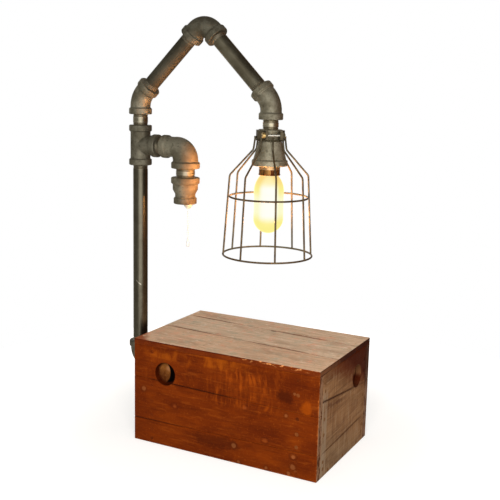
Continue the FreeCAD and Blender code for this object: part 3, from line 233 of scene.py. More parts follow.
LID_FRONT_SEAM = (-0.0096, -0.0309)
LID_BACK_SEAM = (0.0575, 0.0386)
LID_FACE, LID_ARRIS = (0.148, 0.150), (0.1486, 0.1502)
LID_STAINED_CORNER = (-0.114, -0.130)
LID_KNOT = (0.010, 0.0455, 0.0036)
DIRTY_STRETCH, SECOND_DIRTY_STRETCH = (-0.122, -0.074, 0.02), (0.022, 0.078, 0.025)
LID_BOARDS = (("lid_board_front", 3.1, tone(204, 168, 137)),
              ("lid_board_middle", 7.7, tone(208, 179, 151)),
              ("lid_board_back", 12.4, tone(206, 174, 145)))
for name, seed, greyed in LID_BOARDS:
    lid = Timber(name, "x", "y", "z", seed, pith=(0.01 * seed - 0.08, 0.19), ring=0.0046)
    worn = lid.mix(greyed, tone(172, 138, 111), lid.blotch.rise(0.45, 0.7) * 0.7)
    worn = lid.mix(worn, tone(142, 106, 80), lid.late * 0.3)
    worn = lid.mix(worn, tone(240, 218, 194), lid.fibre.rise(0.52, 0.72) * 0.45)
    worn = lid.mix(worn, tone(122, 86, 62), lid.fibre.rise(0.47, 0.3) * 0.5)
    mottle = lid.noise(lid.place, 62, 5, 0.7)
    worn = lid.mix(worn, tone(164, 156, 134), mottle.rise(0.53, 0.66) * 0.55)
    worn = lid.mix(worn, tone(218, 152, 122), mottle.rise(0.45, 0.32) * 0.6)
    scuffs = lid.noise(lid.point(lid.x * 90, lid.y * 260, 0.0), 1.0, 3, 0.7)
    worn = lid.mix(worn, tone(244, 230, 212), scuffs.rise(0.58, 0.7) * 0.5)
    worn = lid.mix(worn, tone(124, 88, 64), scuffs.rise(0.42, 0.3) * 0.45)
    seams = lid.from_seam(*LID_FRONT_SEAM).least(lid.from_seam(*LID_BACK_SEAM))
    dirt = (seams + (lid.grime - 0.5) * 0.005).rise(0.0032, 0.0006)
    stretches = lid.x.band(*DIRTY_STRETCH).most(lid.x.band(*SECOND_DIRTY_STRETCH))
    worn = lid.mix(worn, tone(108, 64, 36), dirt * (stretches * 0.6 + 0.3))
    corner = lid.x + (lid.y + CRATE_HALF_DEPTH) * 0.7 + (lid.grime - 0.5) * 0.02
    worn = lid.mix(worn, tone(136, 62, 26), corner.rise(*LID_STAINED_CORNER) * 0.9)
    if name == "lid_board_middle":
        worn = lid.mix(worn, tone(84, 46, 28), lid.spot(*LID_KNOT, long=1.7) * 0.95)
    upper_arris = (lid.z + (lid.grime - 0.5) * 0.002).rise(*LID_ARRIS)
    stained = lid.mix(lid.stain(), tone(66, 20, 6), upper_arris * lid.x.rise(0.07, 0.03) * 0.8)
    flecks = lid.noise(lid.point(lid.x * 150, 0.0, lid.z * 420), 1.0, 2).rise(0.56, 0.66)
    flecks = flecks * lid.z.rise(0.1455, 0.1495) * lid.x.rise(0.0, 0.05)
    stained = lid.mix(stained, tone(226, 150, 88), flecks * 0.9)
    sheltered = (lid.y + (lid.grime - 0.5) * 0.05).rise(-0.08, 0.0)
    right_end_colour = lid.mix(tone(116, 72, 44), tone(60, 20, 7), sheltered)
    right_end_colour = lid.mix(right_end_colour, tone(58, 28, 16), upper_arris * 0.7)
    crack = lid.z.rise(0.1452, 0.1434) * lid.y.rise(-0.05, -0.07)
    right_end_colour = lid.mix(right_end_colour, tone(26, 12, 7), crack * 0.9)
    stained = lid.mix(stained, right_end_colour, lid.facing("x") * lid.x.rise(0.0, 0.1))
    colour = lid.mix(stained, worn, lid.facing("z") * lid.z.rise(*LID_FACE))
    shine = 0.6 + (lid.grime - 0.5) * 0.3
    relief = lid.fibre * 0.7 + lid.late * 0.3 + lid.grime * 0.4
    lid.surface(Base_Color=colour, Roughness=shine, Specular_IOR_Level=0.1,
                Normal=lid.bump(relief, 0.0004, 0.5))
    lid.paint(name)


# Front wall: three boards in a rich orange-brown varnish over the stain, nailed to the corner
# posts. Curly figure and small knots show through, the outer edges are rubbed paler, and old fixing
# holes are filled with putty. The two seams run a little out of level along the wall.
FRONT_UPPER_SEAM = (0.0957, 0.0891)
FRONT_LOWER_SEAM = (0.034, 0.0362)
HOLE_RADIUS, HOLE_Z = 0.01625, 0.1063
FRONT_HOLE_X, RIGHT_HOLE_Y = -0.091, 0.044
PUTTY_MARKS = ((-0.127, 0.079, 0.0042), (0.097, 0.083, 0.0032), (0.108, 0.115, 0.003),
               (0.112, 0.061, 0.0026), (0.109, 0.0285, 0.0034), (0.109, 0.014, 0.0046),
               (0.103, 0.004, 0.003), (0.020, 0.0245, 0.0042), (0.028, 0.003, 0.003),
               (0.070, 0.004, 0.003))
KNOTS = ((0.067, 0.042, 0.0036), (0.036, 0.082, 0.003), (-0.075, 0.062, 0.003),
         (0.109, 0.029, 0.004))
FIGURE_X, FIGURE_Z, FIGURE_MIDDLE = (-0.004, 0.066, 0.03), (0.088, 0.124, 0.016), 0.105
GLOWING_X, GLOWING_Z = (-0.09, 0.0, 0.05), (0.131, 0.141, 0.006)
RED_PATCH, RED_PATCH_END = (0.095, 0.109, 0.0115), (0.109, 0.105)
ORANGE_PATCH, DARK_PATCH = (0.126, 0.0985, 0.013), (-0.01, 0.024, 0.013)
FRONT_BOARDS = (("front_board_bottom", 21.3, 0.02), ("front_board_middle", 27.9, 0.055),
                ("front_board_top", 33.2, 0.14))
for name, seed, pith in FRONT_BOARDS:
    front = Timber(name, "x", "z", "y", seed, pith=(pith, -0.028), ring=0.0038)
    colour = front.stain()
    upright = front.noise(front.point(front.x * 70, 0.0, front.z * 26), 1.0, 4, 0.65, 0.4)
    upper = front.z.rise(0.07, 0.11)
    colour = front.mix(colour, tone(148, 66, 10), upright.rise(0.53, 0.7) * upper * 0.3)
    colour = front.mix(colour, tone(82, 27, 5), upright.rise(0.46, 0.3) * upper * 0.35)
    figured = front.x.band(*FIGURE_X) * front.z.band(*FIGURE_Z)
    bend = (front.z - FIGURE_MIDDLE) * (front.z - FIGURE_MIDDLE) * 900 * front.x.rise(0.02, 0.06)
    curls = front.noise(front.point(front.x * 190 + bend * 1.4, 0.0, front.z * 44), 1.0, 1.5, 0.5, 0.3)
    colour = front.mix(colour, tone(160, 72, 12), figured * curls.rise(0.48, 0.74) * 0.6)
    colour = front.mix(colour, tone(80, 28, 5), figured * curls.rise(0.48, 0.3) * 0.4)
    glowing = front.z.band(*GLOWING_Z) * front.x.band(*GLOWING_X)
    colour = front.mix(colour, tone(156, 76, 12), glowing * (upright + front.cloud).rise(0.85, 1.15) * 0.6)
    rubbed_red = front.spot(*RED_PATCH, 0.7, long=1.5) * front.x.rise(*RED_PATCH_END)
    colour = front.mix(colour, tone(66, 21, 5), rubbed_red * 0.8)
    colour = front.mix(colour, tone(158, 70, 6), front.spot(*ORANGE_PATCH, 0.7, long=0.8) * 0.6)
    colour = front.mix(colour, tone(66, 22, 6), front.spot(*DARK_PATCH, 0.8, long=3.4) * 0.55)
    for mark_x, mark_z, mark_radius in KNOTS:
        dx, dz = front.x - mark_x, front.z - mark_z
        ring_far = (dx * dx * 0.6 + dz * dz).root() + (front.grime - 0.5) * 0.0016
        ripples = (ring_far * 1700).sin() * 0.5 + 0.5
        outer = ring_far.rise(mark_radius * 2.4, mark_radius)
        colour = front.mix(colour, tone(70, 26, 10), outer * ripples * 0.4)
        colour = front.mix(colour, tone(168, 84, 34), ring_far.rise(mark_radius, mark_radius * 0.3) * 0.35)
    for mark_x, mark_z, mark_radius in PUTTY_MARKS:
        filled = front.spot(mark_x, mark_z, mark_radius, 0.5)
        rim = front.spot(mark_x, mark_z, mark_radius * 1.9, 0.5) - filled
        colour = front.mix(colour, tone(76, 32, 8), rim * 0.4)
        colour = front.mix(colour, tone(156, 100, 58), filled * 0.35)
    colour = front.mix(colour, tone(82, 26, 6), front.x.rise(-0.11, -0.146) * 0.3)
    crack = (front.from_seam(*FRONT_UPPER_SEAM) + (front.grime - 0.5) * 0.002).rise(0.002, 0.0)
    crack = crack * front.x.band(-0.1, 0.0, 0.03)
    low_crack = (front.from_seam(*FRONT_LOWER_SEAM) + (front.grime - 0.5) * 0.002).rise(0.002, 0.0)
    crack = crack.most(low_crack * front.x.rise(-0.03, -0.1) * 0.8)
    colour = front.mix(colour, tone(44, 14, 6), crack * 0.75)
    colour = front.mix(colour, tone(50, 12, 2), front.bored(FRONT_HOLE_X, HOLE_Z, HOLE_RADIUS) * 0.8)
    edge = front.from_edge() + (front.grime - 0.5) * 0.009
    colour = front.mix(colour, tone(206, 120, 52), edge.rise(0.0014, -0.0012) * 0.5)
    end_face = front.facing("x")
    notches = front.noise(front.point(0.0, front.y * 160, front.z * 60), 1.0, 4, 0.7)
    end_wood = front.mix(tone(152, 116, 88), tone(78, 44, 26), notches.rise(0.46, 0.6))
    colour = front.mix(colour, end_wood, end_face * front.x.rise(0.135, 0.14) * 0.92)
    shine = 0.4 + (front.grime - 0.45) * 0.3 + front.fibre * 0.1 + end_face * 0.2
    relief = front.fibre * 0.5 + front.late * 0.25 + front.grime * 0.5 + figured * curls * 0.3
    front.surface(Base_Color=colour, Roughness=shine, Specular_IOR_Level=0.04,
                  Normal=front.bump(relief, 0.0005, 0.6))
    front.paint(name)


# Right end wall: the same boards between the two long walls, where the stain has weathered away to
# a grey-brown. The red-brown is left under the lid and in the upper back corner, a dark streak
# follows the upper seam, and the wood is nailed at both ends to the corner posts.
RIGHT_UPPER_SEAM = (0.1065, 0.087)
RIGHT_LOWER_SEAM = (0.0334, 0.0388)
INNER_HALF_DEPTH = 0.079
PALE_STRIP_Y, PALE_STRIP_FOOT = (-0.079, -0.066, 0.006), (0.125, 0.11)
SMEAR_DROP, SMEAR_Y = 0.009, (-0.055, -0.01, 0.02)
LOWER_CRACK_Y = (-0.06, 0.05, 0.02)
RIGHT_BOARDS = (("right_board_bottom", 41.6, 0.02), ("right_board_middle", 47.2, 0.07),
                ("right_board_top", 52.8, 0.13))
for name, seed, pith in RIGHT_BOARDS:
    right = Timber(name, "y", "z", "x", seed, pith=(pith, 0.19), ring=0.0044)
    colour = right.mix(tone(158, 116, 78), tone(130, 90, 56), right.blotch.rise(0.35, 0.7))
    grey = (right.z + (right.y * 0.4) + (right.grime - 0.5) * 0.04).rise(0.06, 0.0)
    colour = right.mix(colour, tone(140, 114, 84), grey * 0.7)
    colour = right.mix(colour, tone(92, 56, 34), right.late * 0.3)
    colour = right.mix(colour, tone(186, 150, 114), right.fibre.rise(0.52, 0.72) * 0.5)
    colour = right.mix(colour, tone(76, 44, 26), right.fibre.rise(0.46, 0.3) * 0.55)
    runs = right.noise(right.point(0.0, right.y * 210, right.z * 24), 1.0, 4, 0.65)
    colour = right.mix(colour, tone(180, 150, 118), runs.rise(0.54, 0.68) * 0.45)
    colour = right.mix(colour, tone(92, 54, 30), runs.rise(0.46, 0.32) * 0.5)
    rising = right.z + (right.y - 0.03) * 0.42 + (right.grime - 0.5) * 0.03
    colour = right.mix(colour, tone(98, 42, 12), rising.rise(0.09, 0.12) * 0.9)
    colour = right.mix(colour, tone(70, 21, 2), (rising + right.y * 0.1).rise(0.112, 0.136) * 0.9)
    pale = right.y.band(*PALE_STRIP_Y) * right.z.rise(*PALE_STRIP_FOOT)
    colour = right.mix(colour, tone(158, 136, 112), pale * runs.rise(0.36, 0.56) * 0.7)
    upper = right.from_seam(*RIGHT_UPPER_SEAM, INNER_HALF_DEPTH) + (right.grime - 0.5) * 0.003
    lower = right.from_seam(*RIGHT_LOWER_SEAM, INNER_HALF_DEPTH) + (right.grime - 0.5) * 0.002
    colour = right.mix(colour, tone(58, 26, 12), upper.rise(0.003, 0.0) * right.y.rise(0.045, 0.02) * 0.85)
    smear_line = [height - SMEAR_DROP for height in RIGHT_UPPER_SEAM]
    below_seam = right.from_seam(*smear_line, INNER_HALF_DEPTH)
    smear = (below_seam + (right.grime - 0.5) * 0.016).rise(0.0035, 0.0) * right.y.band(*SMEAR_Y)
    colour = right.mix(colour, tone(74, 30, 14), smear * 0.5)
    low_crack = lower.rise(0.0022, 0.0) * right.y.band(*LOWER_CRACK_Y)
    colour = right.mix(colour, tone(76, 42, 22), low_crack * 0.8)
    back_edge = right.y.rise(0.072, 0.079) * right.z.rise(0.06, 0.11)
    colour = right.mix(colour, tone(44, 16, 8), back_edge * 0.8)
    # The wall of the finger hole is painted as light and shade, pale above and dark below.
    painted_lit_upper = (right.z - HOLE_Z + (right.grime - 0.5) * 0.01).rise(-0.006, 0.002)
    painted_hole_wall = right.mix(tone(56, 15, 4), tone(106, 70, 44), painted_lit_upper)
    colour = right.mix(colour, painted_hole_wall, right.bored(RIGHT_HOLE_Y, HOLE_Z, HOLE_RADIUS) * 0.9)
    shine = 0.55 + (right.grime - 0.5) * 0.3
    relief = right.fibre * 0.6 + right.late * 0.3 + right.grime * 0.5
    right.surface(Base_Color=colour, Roughness=shine, Specular_IOR_Level=0.06,
                  Normal=right.bump(relief, 0.0005, 0.6))
    right.paint(name)


# Left end and back walls: the sides that are seldom seen, of the same stained boards, duller and
# dustier than the front. The pipe comes in through the left end, and the cord's grommet is low in
# the back.
LEFT_UPPER_SEAM, LEFT_LOWER_SEAM = (0.0785, 0.0785), (0.0355, 0.0355)
for name, along, through, seed in (("left_boards", "y", "x", 61.5), ("back_boards", "x", "y", 68.3)):
    wall = Timber(name, along, "z", through, seed, pith=(0.05, 0.19 if along == "x" else -0.19))
    colour = wall.mix(tone(128, 62, 24), tone(94, 42, 17), wall.blotch.rise(0.3, 0.7))
    colour = wall.mix(colour, tone(70, 30, 13), wall.late * 0.35)
    colour = wall.mix(colour, tone(160, 100, 54), wall.fibre.rise(0.54, 0.78) * 0.4)
    colour = wall.mix(colour, tone(52, 23, 11), wall.fibre.rise(0.43, 0.27) * 0.45)
    dust = wall.noise(wall.place, 17, 5, 0.65).rise(0.47, 0.75)
    colour = wall.mix(colour, tone(146, 112, 84), dust * 0.45)
    if along == "x":
        seams = wall.from_seam(*FRONT_UPPER_SEAM).least(wall.from_seam(*FRONT_LOWER_SEAM))
    else:
        seams = wall.from_seam(*LEFT_UPPER_SEAM).least(wall.from_seam(*LEFT_LOWER_SEAM))
    crack = (seams + (wall.grime - 0.5) * 0.002).rise(0.0022, 0.0)
    colour = wall.mix(colour, tone(38, 16, 9), crack * 0.7)
    edge = wall.from_edge() + (wall.grime - 0.5) * 0.008
    colour = wall.mix(colour, tone(178, 130, 88), edge.rise(0.0018, -0.001) * 0.6)
    notches = wall.noise(wall.point(0.0, wall.y * 160, wall.z * 60), 1.0, 4, 0.7)
    end_wood = wall.mix(tone(146, 110, 82), tone(76, 44, 27), notches.rise(0.44, 0.6))
    if along == "x":
        sheltered = (wall.z + (wall.grime - 0.5) * 0.05).rise(0.06, 0.12) * wall.x.rise(0.0, 0.1)
        end_wood = wall.mix(end_wood, tone(48, 17, 7), sheltered * 0.9)
    end_face = wall.facing(along)
    colour = wall.mix(colour, end_wood, end_face * 0.9)
    shine = 0.5 + (wall.grime - 0.5) * 0.3
    relief = wall.fibre * 0.7 + wall.late * 0.35 + wall.grime * 0.5
    wall.surface(Base_Color=colour, Roughness=shine, Specular_IOR_Level=0.1,
                 Normal=wall.bump(relief, 0.0005, 0.6))
    wall.paint(name)


# Floor boards and corner posts: raw sawn softwood that never had a finish. The posts stand in the
# four corners for the nails to bite in.
for name, along, across, through, seed in (("floor_boards", "x", "y", "z", 71.9),
                                           ("corner_posts", "z", "x", "y", 76.4)):
    raw = Timber(name, along, across, through, seed, pith=(0.03, -0.06))
    colour = raw.mix(tone(206, 170, 126), tone(150, 98, 60), raw.blotch.rise(0.35, 0.75))
    colour = raw.mix(colour, tone(122, 74, 42), raw.late * 0.5)
    colour = raw.mix(colour, tone(86, 50, 30), raw.fibre.rise(0.42, 0.28) * 0.4)
    colour = raw.mix(colour, tone(104, 60, 36), raw.grime.rise(0.52, 0.7) * 0.45)
    relief = raw.fibre * 0.8 + raw.late * 0.4
    raw.surface(Base_Color=colour, Roughness=0.68, Normal=raw.bump(relief, 0.0004, 0.6))
    raw.paint(name)


# Hole plugs: turned discs glued behind the old finger holes of the front and the right end. They
# are tan in the middle and darker round their rims. The front plug is darker towards the bottom,
# with a painted highlight above its middle and a black crescent of painted shadow on the side away
# from the post; the right end's plug is painted pale above and dark below, as light and shade.
SHADOW_ASIDE, SHADOW_EDGE = 0.016, (0.0188, 0.0202)
GLINT_ASIDE, GLINT_UP = 0.001, 0.0065
plug = Timber("hole_plugs", "z", "x", "y", 83.7, pith=(0.03, -0.06))
on_front = plug.y.rise(-0.05, -0.07)
aside = (plug.x - FRONT_HOLE_X) * on_front + (plug.y - RIGHT_HOLE_Y) * (1 - on_front)
height = plug.z - HOLE_Z
rim_far = (aside * aside + height * height).root()
painted_shadow_aside = aside + SHADOW_ASIDE
painted_shadow_far = (painted_shadow_aside * painted_shadow_aside + height * height).root()
colour = plug.mix(tone(122, 74, 32), tone(76, 36, 10), (plug.grime + height * 24).rise(0.6, 0.25))
colour = plug.mix(colour, tone(146, 98, 60), plug.fibre.rise(0.5, 0.7) * 0.35)
# Painted highlight: a pale spot above the middle of the front plug.
glint_x, glint_z = aside - GLINT_ASIDE, height - GLINT_UP
glint = (glint_x * glint_x + glint_z * glint_z).root().rise(0.006, 0.001)
colour = plug.mix(colour, tone(166, 118, 82), glint * 0.5)
# Black crescent of painted shadow on the front plug, on the side away from the post.
colour = plug.mix(colour, tone(3, 1, 1), painted_shadow_far.rise(*SHADOW_EDGE) * on_front)
# The right end's plug is painted pale above and dark below, as light and shade.
painted_lit_upper = (height + (plug.grime - 0.5) * 0.01).rise(-0.004, 0.002)
right_end_colour = plug.mix(tone(62, 18, 4), tone(120, 80, 50), painted_lit_upper)
colour = plug.mix(right_end_colour, colour, on_front)
colour = plug.mix(colour, tone(58, 20, 8), rim_far.rise(0.0125, 0.0155) * 0.8)
plug.surface(Base_Color=colour, Roughness=0.6, Specular_IOR_Level=0.04,
             Normal=plug.bump(plug.fibre * 0.6 + plug.grime * 0.4, 0.0004, 0.6))
plug.paint("hole_plugs")


# Nails: small round heads driven flush through the boards, stopped with putty and stained over, so
# that most take nearly the wood's own colour and a few stand out pale.
nails = Finish("nail_steel")
stopping = nails.noise(nails.place, 160, 4, 0.7)
per_nail = nails.noise(nails.point(nails.x * 31, nails.y * 31, nails.z * 47), 1.0, 1)
cover = nails.mix(tone(108, 43, 8), tone(84, 32, 7), stopping.rise(0.42, 0.62))
cover = nails.mix(cover, tone(150, 90, 46), per_nail.rise(0.56, 0.66) * nails.x.rise(0.0, 0.1) * 0.4)
cover = nails.mix(cover, tone(124, 86, 56), nails.x.rise(0.138, 0.1425))
dark_corner = nails.y.rise(0.05, 0.07) * nails.z.rise(0.07, 0.11) * nails.x.rise(0.13, 0.14)
cover = nails.mix(cover, tone(58, 22, 10), dark_corner)
cover = nails.mix(cover, tone(190, 158, 128), nails.z.rise(0.146, 0.1505))
nails.surface(Base_Color=cover, Roughness=0.6 + stopping * 0.2, Specular_IOR_Level=0.06,
              Normal=nails.bump(stopping, 0.0002, 0.6))
nails.paint("crate_nails")


# Grommet: moulded black rubber, pushed into a hole low in the back wall, where its groove grips the
# board, so that the cord isn't chafed. It has a dusty bloom.
rubber = Finish("black_rubber")
chalk = rubber.noise(rubber.place, 420, 4, 0.6)
bloom = rubber.mix(tone(26, 25, 24), tone(52, 49, 46), chalk.rise(0.45, 0.7))
rubber.surface(Base_Color=bloom, Roughness=0.55 + chalk * 0.25, Normal=rubber.bump(chalk, 0.0001, 0.5))
rubber.paint("cord_grommet")


# Cast fittings: malleable iron elbows, tee, bends, reducer and the lamp's cup, sand cast and oiled,
# with a dull olive-grey skin, darker hollows and rubbed high spots. Each is screwed on to its
# pipes. The spout's two take a warmer brown on the side that faces the bulb, a painted stand-in for
# the bulb's light on them.
class CastIron(Finish):
    """Sand-cast iron, with a coarse skin and patches of old oil."""

    def __init__(self, name, seed):
        super().__init__(name)
        shifted = self.point(self.x + seed, self.y, self.z)
        self.patch = self.noise(shifted, 46, 5, 0.62)
        self.sand = self.noise(shifted, 480, 4, 0.6)
        self.pits = self.noise(shifted, 210, 3, 0.55)


SPOUT_X, BULB_WARMTH_WITHIN = -0.0979, 0.012
CASTINGS = {"base_elbow": (0.3, 0.9, 0.55), "post_tee": (1.7, 0.92, 0.55),
            "lower_bend": (2.9, 1.05, 0.55), "top_elbow": (4.1, 0.87, 0.55),
            "upper_bend": (5.3, 1.12, 0.55), "spout_elbow": (6.7, 1.1, 0.66),
            "spout_reducer": (8.2, 1.12, 0.74), "lamp_cup": (9.6, 1.32, 0.55)}
for name, (seed, bright, rough) in CASTINGS.items():
    cast = CastIron(name, seed)
    colour = cast.mix(tone(156 * bright, 151 * bright, 134 * bright),
                      tone(122 * bright, 116 * bright, 99 * bright), cast.patch.rise(0.38, 0.62))
    colour = cast.mix(colour, tone(196, 190, 170), cast.sand.rise(0.54, 0.74) * 0.12)
    colour = cast.mix(colour, tone(84, 76, 60), cast.sand.rise(0.45, 0.3) * 0.15)
    colour = cast.mix(colour, tone(72, 62, 48), cast.pits.rise(0.43, 0.3) * 0.4)
    colour = cast.mix(colour, tone(158, 118, 82), cast.pits.rise(0.58, 0.72) * 0.25)
    # Painted light: a warmer brown on the spout's side towards the bulb stands in for its glow.
    if name.startswith("spout"):
        painted_bulb_warmth = (cast.x + (cast.patch - 0.5) * 0.01).rise(SPOUT_X, SPOUT_X + BULB_WARMTH_WITHIN)
        colour = cast.mix(colour, tone(128, 108, 84), painted_bulb_warmth * 0.5)
    shine = rough + cast.patch * 0.16 - cast.sand.rise(0.55, 0.75) * 0.06
    relief = cast.sand * 0.5 + cast.pits * 0.5
    cast.surface(Base_Color=colour, Metallic=0.9, Roughness=shine, Specular_IOR_Level=0.2,
                 Normal=cast.bump(relief, 0.00022, 0.4))
    cast.paint(name)


# Pipes and nipples: drawn black pipe, screwed into the fittings. The lacquer is smooth with faint
# lengthwise draw marks and one scratch on the post, and a few bare threads stand out lighter beside
# each fitting. The short nipples are hardly lacquered.
SOCKET_DEPTH = 0.0127
BARE_THREADS = 0.0052
DRAWN_OUT = 0.97
DIAGONAL = math.sqrt(0.5)
POST_X, POST_Y = -0.174, -0.0312
SCRATCH_Z, SCRATCH_SLOPE, SCRATCH_ASIDE = 0.2212, 0.9, 0.0030
SCRATCH_WIDTH, SCRATCH_REACH = (0.0011, 0.0004), (0.0046, 0.0026)
PIPES = {"base_nipple": ((1, 0, 0), 1.3, 0.3), "post_pipe": ((0, 0, 1), 1.0, 0.28),
         "riser_nipple": ((0, 0, 1), 1.5, 0.3), "rising_pipe": ((DIAGONAL, 0, DIAGONAL), 1.0, 0.68),
         "falling_pipe": ((DIAGONAL, 0, -DIAGONAL), 1.4, 0.4), "branch_nipple": ((1, 0, 0), 1.4, 0.3),
         "spout_nipple": ((0, 0, 1), 1.5, 0.3), "drop_nipple": ((0, 0, 1), 1.95, 0.3)}
for name, (axis, bright, rough) in PIPES.items():
    reach = [Vector(axis).dot(vertex.co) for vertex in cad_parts[name].data.vertices]
    first_mouth, second_mouth = min(reach) + SOCKET_DEPTH, max(reach) - SOCKET_DEPTH
    drawn = Finish(name)
    run = drawn.x * axis[0] + drawn.y * axis[1] + drawn.z * axis[2]
    lengthwise = drawn.point(drawn.x - run * axis[0] * DRAWN_OUT, drawn.y - run * axis[1] * DRAWN_OUT,
                             drawn.z - run * axis[2] * DRAWN_OUT)
    marks = drawn.noise(lengthwise, 700, 3, 0.6)
    cloud = drawn.noise(drawn.place, 34, 4, 0.6)
    specks = drawn.noise(drawn.place, 620, 3, 0.6)
    colour = drawn.mix(tone(112 * bright, 107 * bright, 93 * bright),
                       tone(92 * bright, 86 * bright, 73 * bright), cloud.rise(0.35, 0.68))
    colour = drawn.mix(colour, tone(176, 168, 148), marks.rise(0.56, 0.74) * 0.25)
    colour = drawn.mix(colour, tone(44, 39, 30), specks.rise(0.6, 0.72) * 0.15)
    from_mouth = (run - first_mouth).least(second_mouth - run)
    bare = (from_mouth + (specks - 0.5) * 0.001).rise(BARE_THREADS + 0.0006, BARE_THREADS)
    colour = drawn.mix(colour, tone(176, 168, 150), bare * 0.7)
    if name == "post_pipe":
        aslant = abs(drawn.z - SCRATCH_Z + (drawn.x - POST_X) * SCRATCH_SLOPE + (specks - 0.5) * 0.003)
        aside = abs(drawn.x - POST_X - SCRATCH_ASIDE)
        scratch = aslant.rise(*SCRATCH_WIDTH) * aside.rise(*SCRATCH_REACH)
        on_front = drawn.y.rise(POST_Y, POST_Y - 0.004)
        colour = drawn.mix(colour, tone(206, 200, 186), scratch * on_front * 0.8)
    shine = rough + (cloud - 0.5) * 0.12 + marks * 0.06 + bare * 0.08
    drawn.surface(Base_Color=colour, Metallic=0.97, Roughness=shine, Specular_IOR_Level=0.3,
                  Normal=drawn.bump(marks * 0.3 + specks * 0.25, 0.0001, 0.25))
    drawn.paint(name)


# Washers and locknut: plated steel, one washer on each face of the crate's end wall, and the
# locknut that draws the nipple tight inside.
plated = Finish("washer_steel")
bloomed = plated.noise(plated.place, 260, 4, 0.6)
zinc = plated.mix(tone(150, 148, 142), tone(104, 100, 92), bloomed.rise(0.4, 0.65))
plated.surface(Base_Color=zinc, Metallic=0.9, Roughness=0.34 + bloomed * 0.2,
               Normal=plated.bump(bloomed, 0.0002, 0.5))
plated.paint("panel_washers", "panel_locknut")


# Spout bushing and bell mouth: turned brass. The bushing is screwed into the spout's mouth and
# carries the switch's stem, and the paler bell mouth is screwed on the stem to guide the chain.
def brass(name, bright, dull, seed):
    """Old turned brass: bright where it is handled, brown where it isn't."""
    metal = Finish(name)
    tarnish = metal.noise(metal.point(metal.x + seed, metal.y, metal.z), 170, 5, 0.65)
    turning = metal.noise(metal.point(metal.x * 20, metal.y * 20, metal.z * 2400), 1.0, 2)
    colour = metal.mix(tone(*bright), tone(*dull), tarnish.rise(0.38, 0.66))
    metal.surface(Base_Color=colour, Metallic=1.0, Roughness=0.24 + tarnish * 0.25,
                  Normal=metal.bump(turning * 0.5 + tarnish, 0.0001, 0.4))
    return metal


brass("spout_brass", (206, 158, 92), (120, 78, 44), 2.2).paint("spout_bushing")
lacquered = Finish("pale_brass")
haze = lacquered.noise(lacquered.place, 240, 4, 0.6)
lacquered.surface(Base_Color=lacquered.mix(tone(250, 240, 220), tone(232, 212, 178), haze.rise(0.4, 0.7)),
                  Metallic=0.2, Roughness=0.4 + haze * 0.2, Normal=lacquered.bump(haze, 0.0001, 0.3))
lacquered.paint("bell_mouth")


# Switch: a moulded black body and cap with the drum inside, on a pin with its return spring and
# between two contact blades. The chain winds on the drum's rim.
moulded = Finish("switch_plastic")
texture = moulded.noise(moulded.place, 1500, 2)
black = moulded.mix(tone(30, 27, 25), tone(46, 42, 39), texture)
moulded.surface(Base_Color=black, Roughness=0.38 + texture * 0.1, Normal=moulded.bump(texture, 0.0001, 0.3))
moulded.paint("switch_body", "switch_cap", "pull_drum")
brass("switch_brass", (214, 170, 104), (150, 104, 60), 5.1).paint("contact_blades", "drum_pin")
spring = Finish("spring_steel")
temper = spring.noise(spring.place, 1200, 3)
spring.surface(Base_Color=spring.mix(tone(170, 168, 162), tone(110, 106, 100), temper), Metallic=1.0,
               Roughness=0.25 + temper * 0.15)
spring.paint("drum_spring")


# Pull chain: small hollow beads crimped on short links, nickelled and pale, with a turned bell at
# its end.
nickel = Finish("pale_chain")
film = nickel.noise(nickel.place, 800, 3, 0.6)
bead = nickel.mix(tone(248, 245, 239), tone(232, 225, 214), film.rise(0.4, 0.7))
nickel.surface(Base_Color=bead, Metallic=0.1, Roughness=0.45 + film * 0.15,
               Normal=nickel.bump(film, 0.0001, 0.3))
nickel.paint("pull_chain", "chain_bell")


# Lamp holder: a glazed porcelain insulator inside the cup with a brass screw shell that shows
# below it, browned by heat in upright bands, and a brass contact riveted through the ceiling.
glaze = Finish("porcelain")
craze = glaze.noise(glaze.place, 300, 4, 0.6)
glaze.surface(Base_Color=glaze.mix(tone(232, 226, 212), tone(206, 196, 176), craze.rise(0.45, 0.7)),
              Roughness=0.15 + craze * 0.1, Coat_Weight=0.5, Coat_Roughness=0.08,
              Normal=glaze.bump(craze, 0.0001, 0.2))
glaze.paint("holder_insulator")
LAMP_X, LAMP_Y, SHELL_RIM = 0.0334, -0.0312, (0.3962, 0.3976)
screw_shell = Finish("shell_brass")
across, depth = screw_shell.x - LAMP_X, screw_shell.y - LAMP_Y
scorch = screw_shell.noise(screw_shell.point(across * 160, depth * 160, screw_shell.z * 30), 1.0, 4, 0.6)
bands = screw_shell.noise(screw_shell.point(across * 330, depth * 330, screw_shell.z * 12), 1.0, 2)
colour = screw_shell.mix(tone(164, 118, 64), tone(84, 38, 12), bands.rise(0.46, 0.6))
colour = screw_shell.mix(colour, tone(52, 26, 16), scorch.rise(0.55, 0.7) * 0.6)
colour = screw_shell.mix(colour, tone(232, 190, 140), screw_shell.z.rise(*SHELL_RIM))
screw_shell.surface(Base_Color=colour, Metallic=0.9, Roughness=0.3 + scorch * 0.2,
                    Normal=screw_shell.bump(scorch, 0.0002, 0.4))
screw_shell.paint("socket_shell")
brass("contact_brass", (210, 164, 96), (150, 100, 56), 7.9).paint("centre_contact", "bulb_cap")


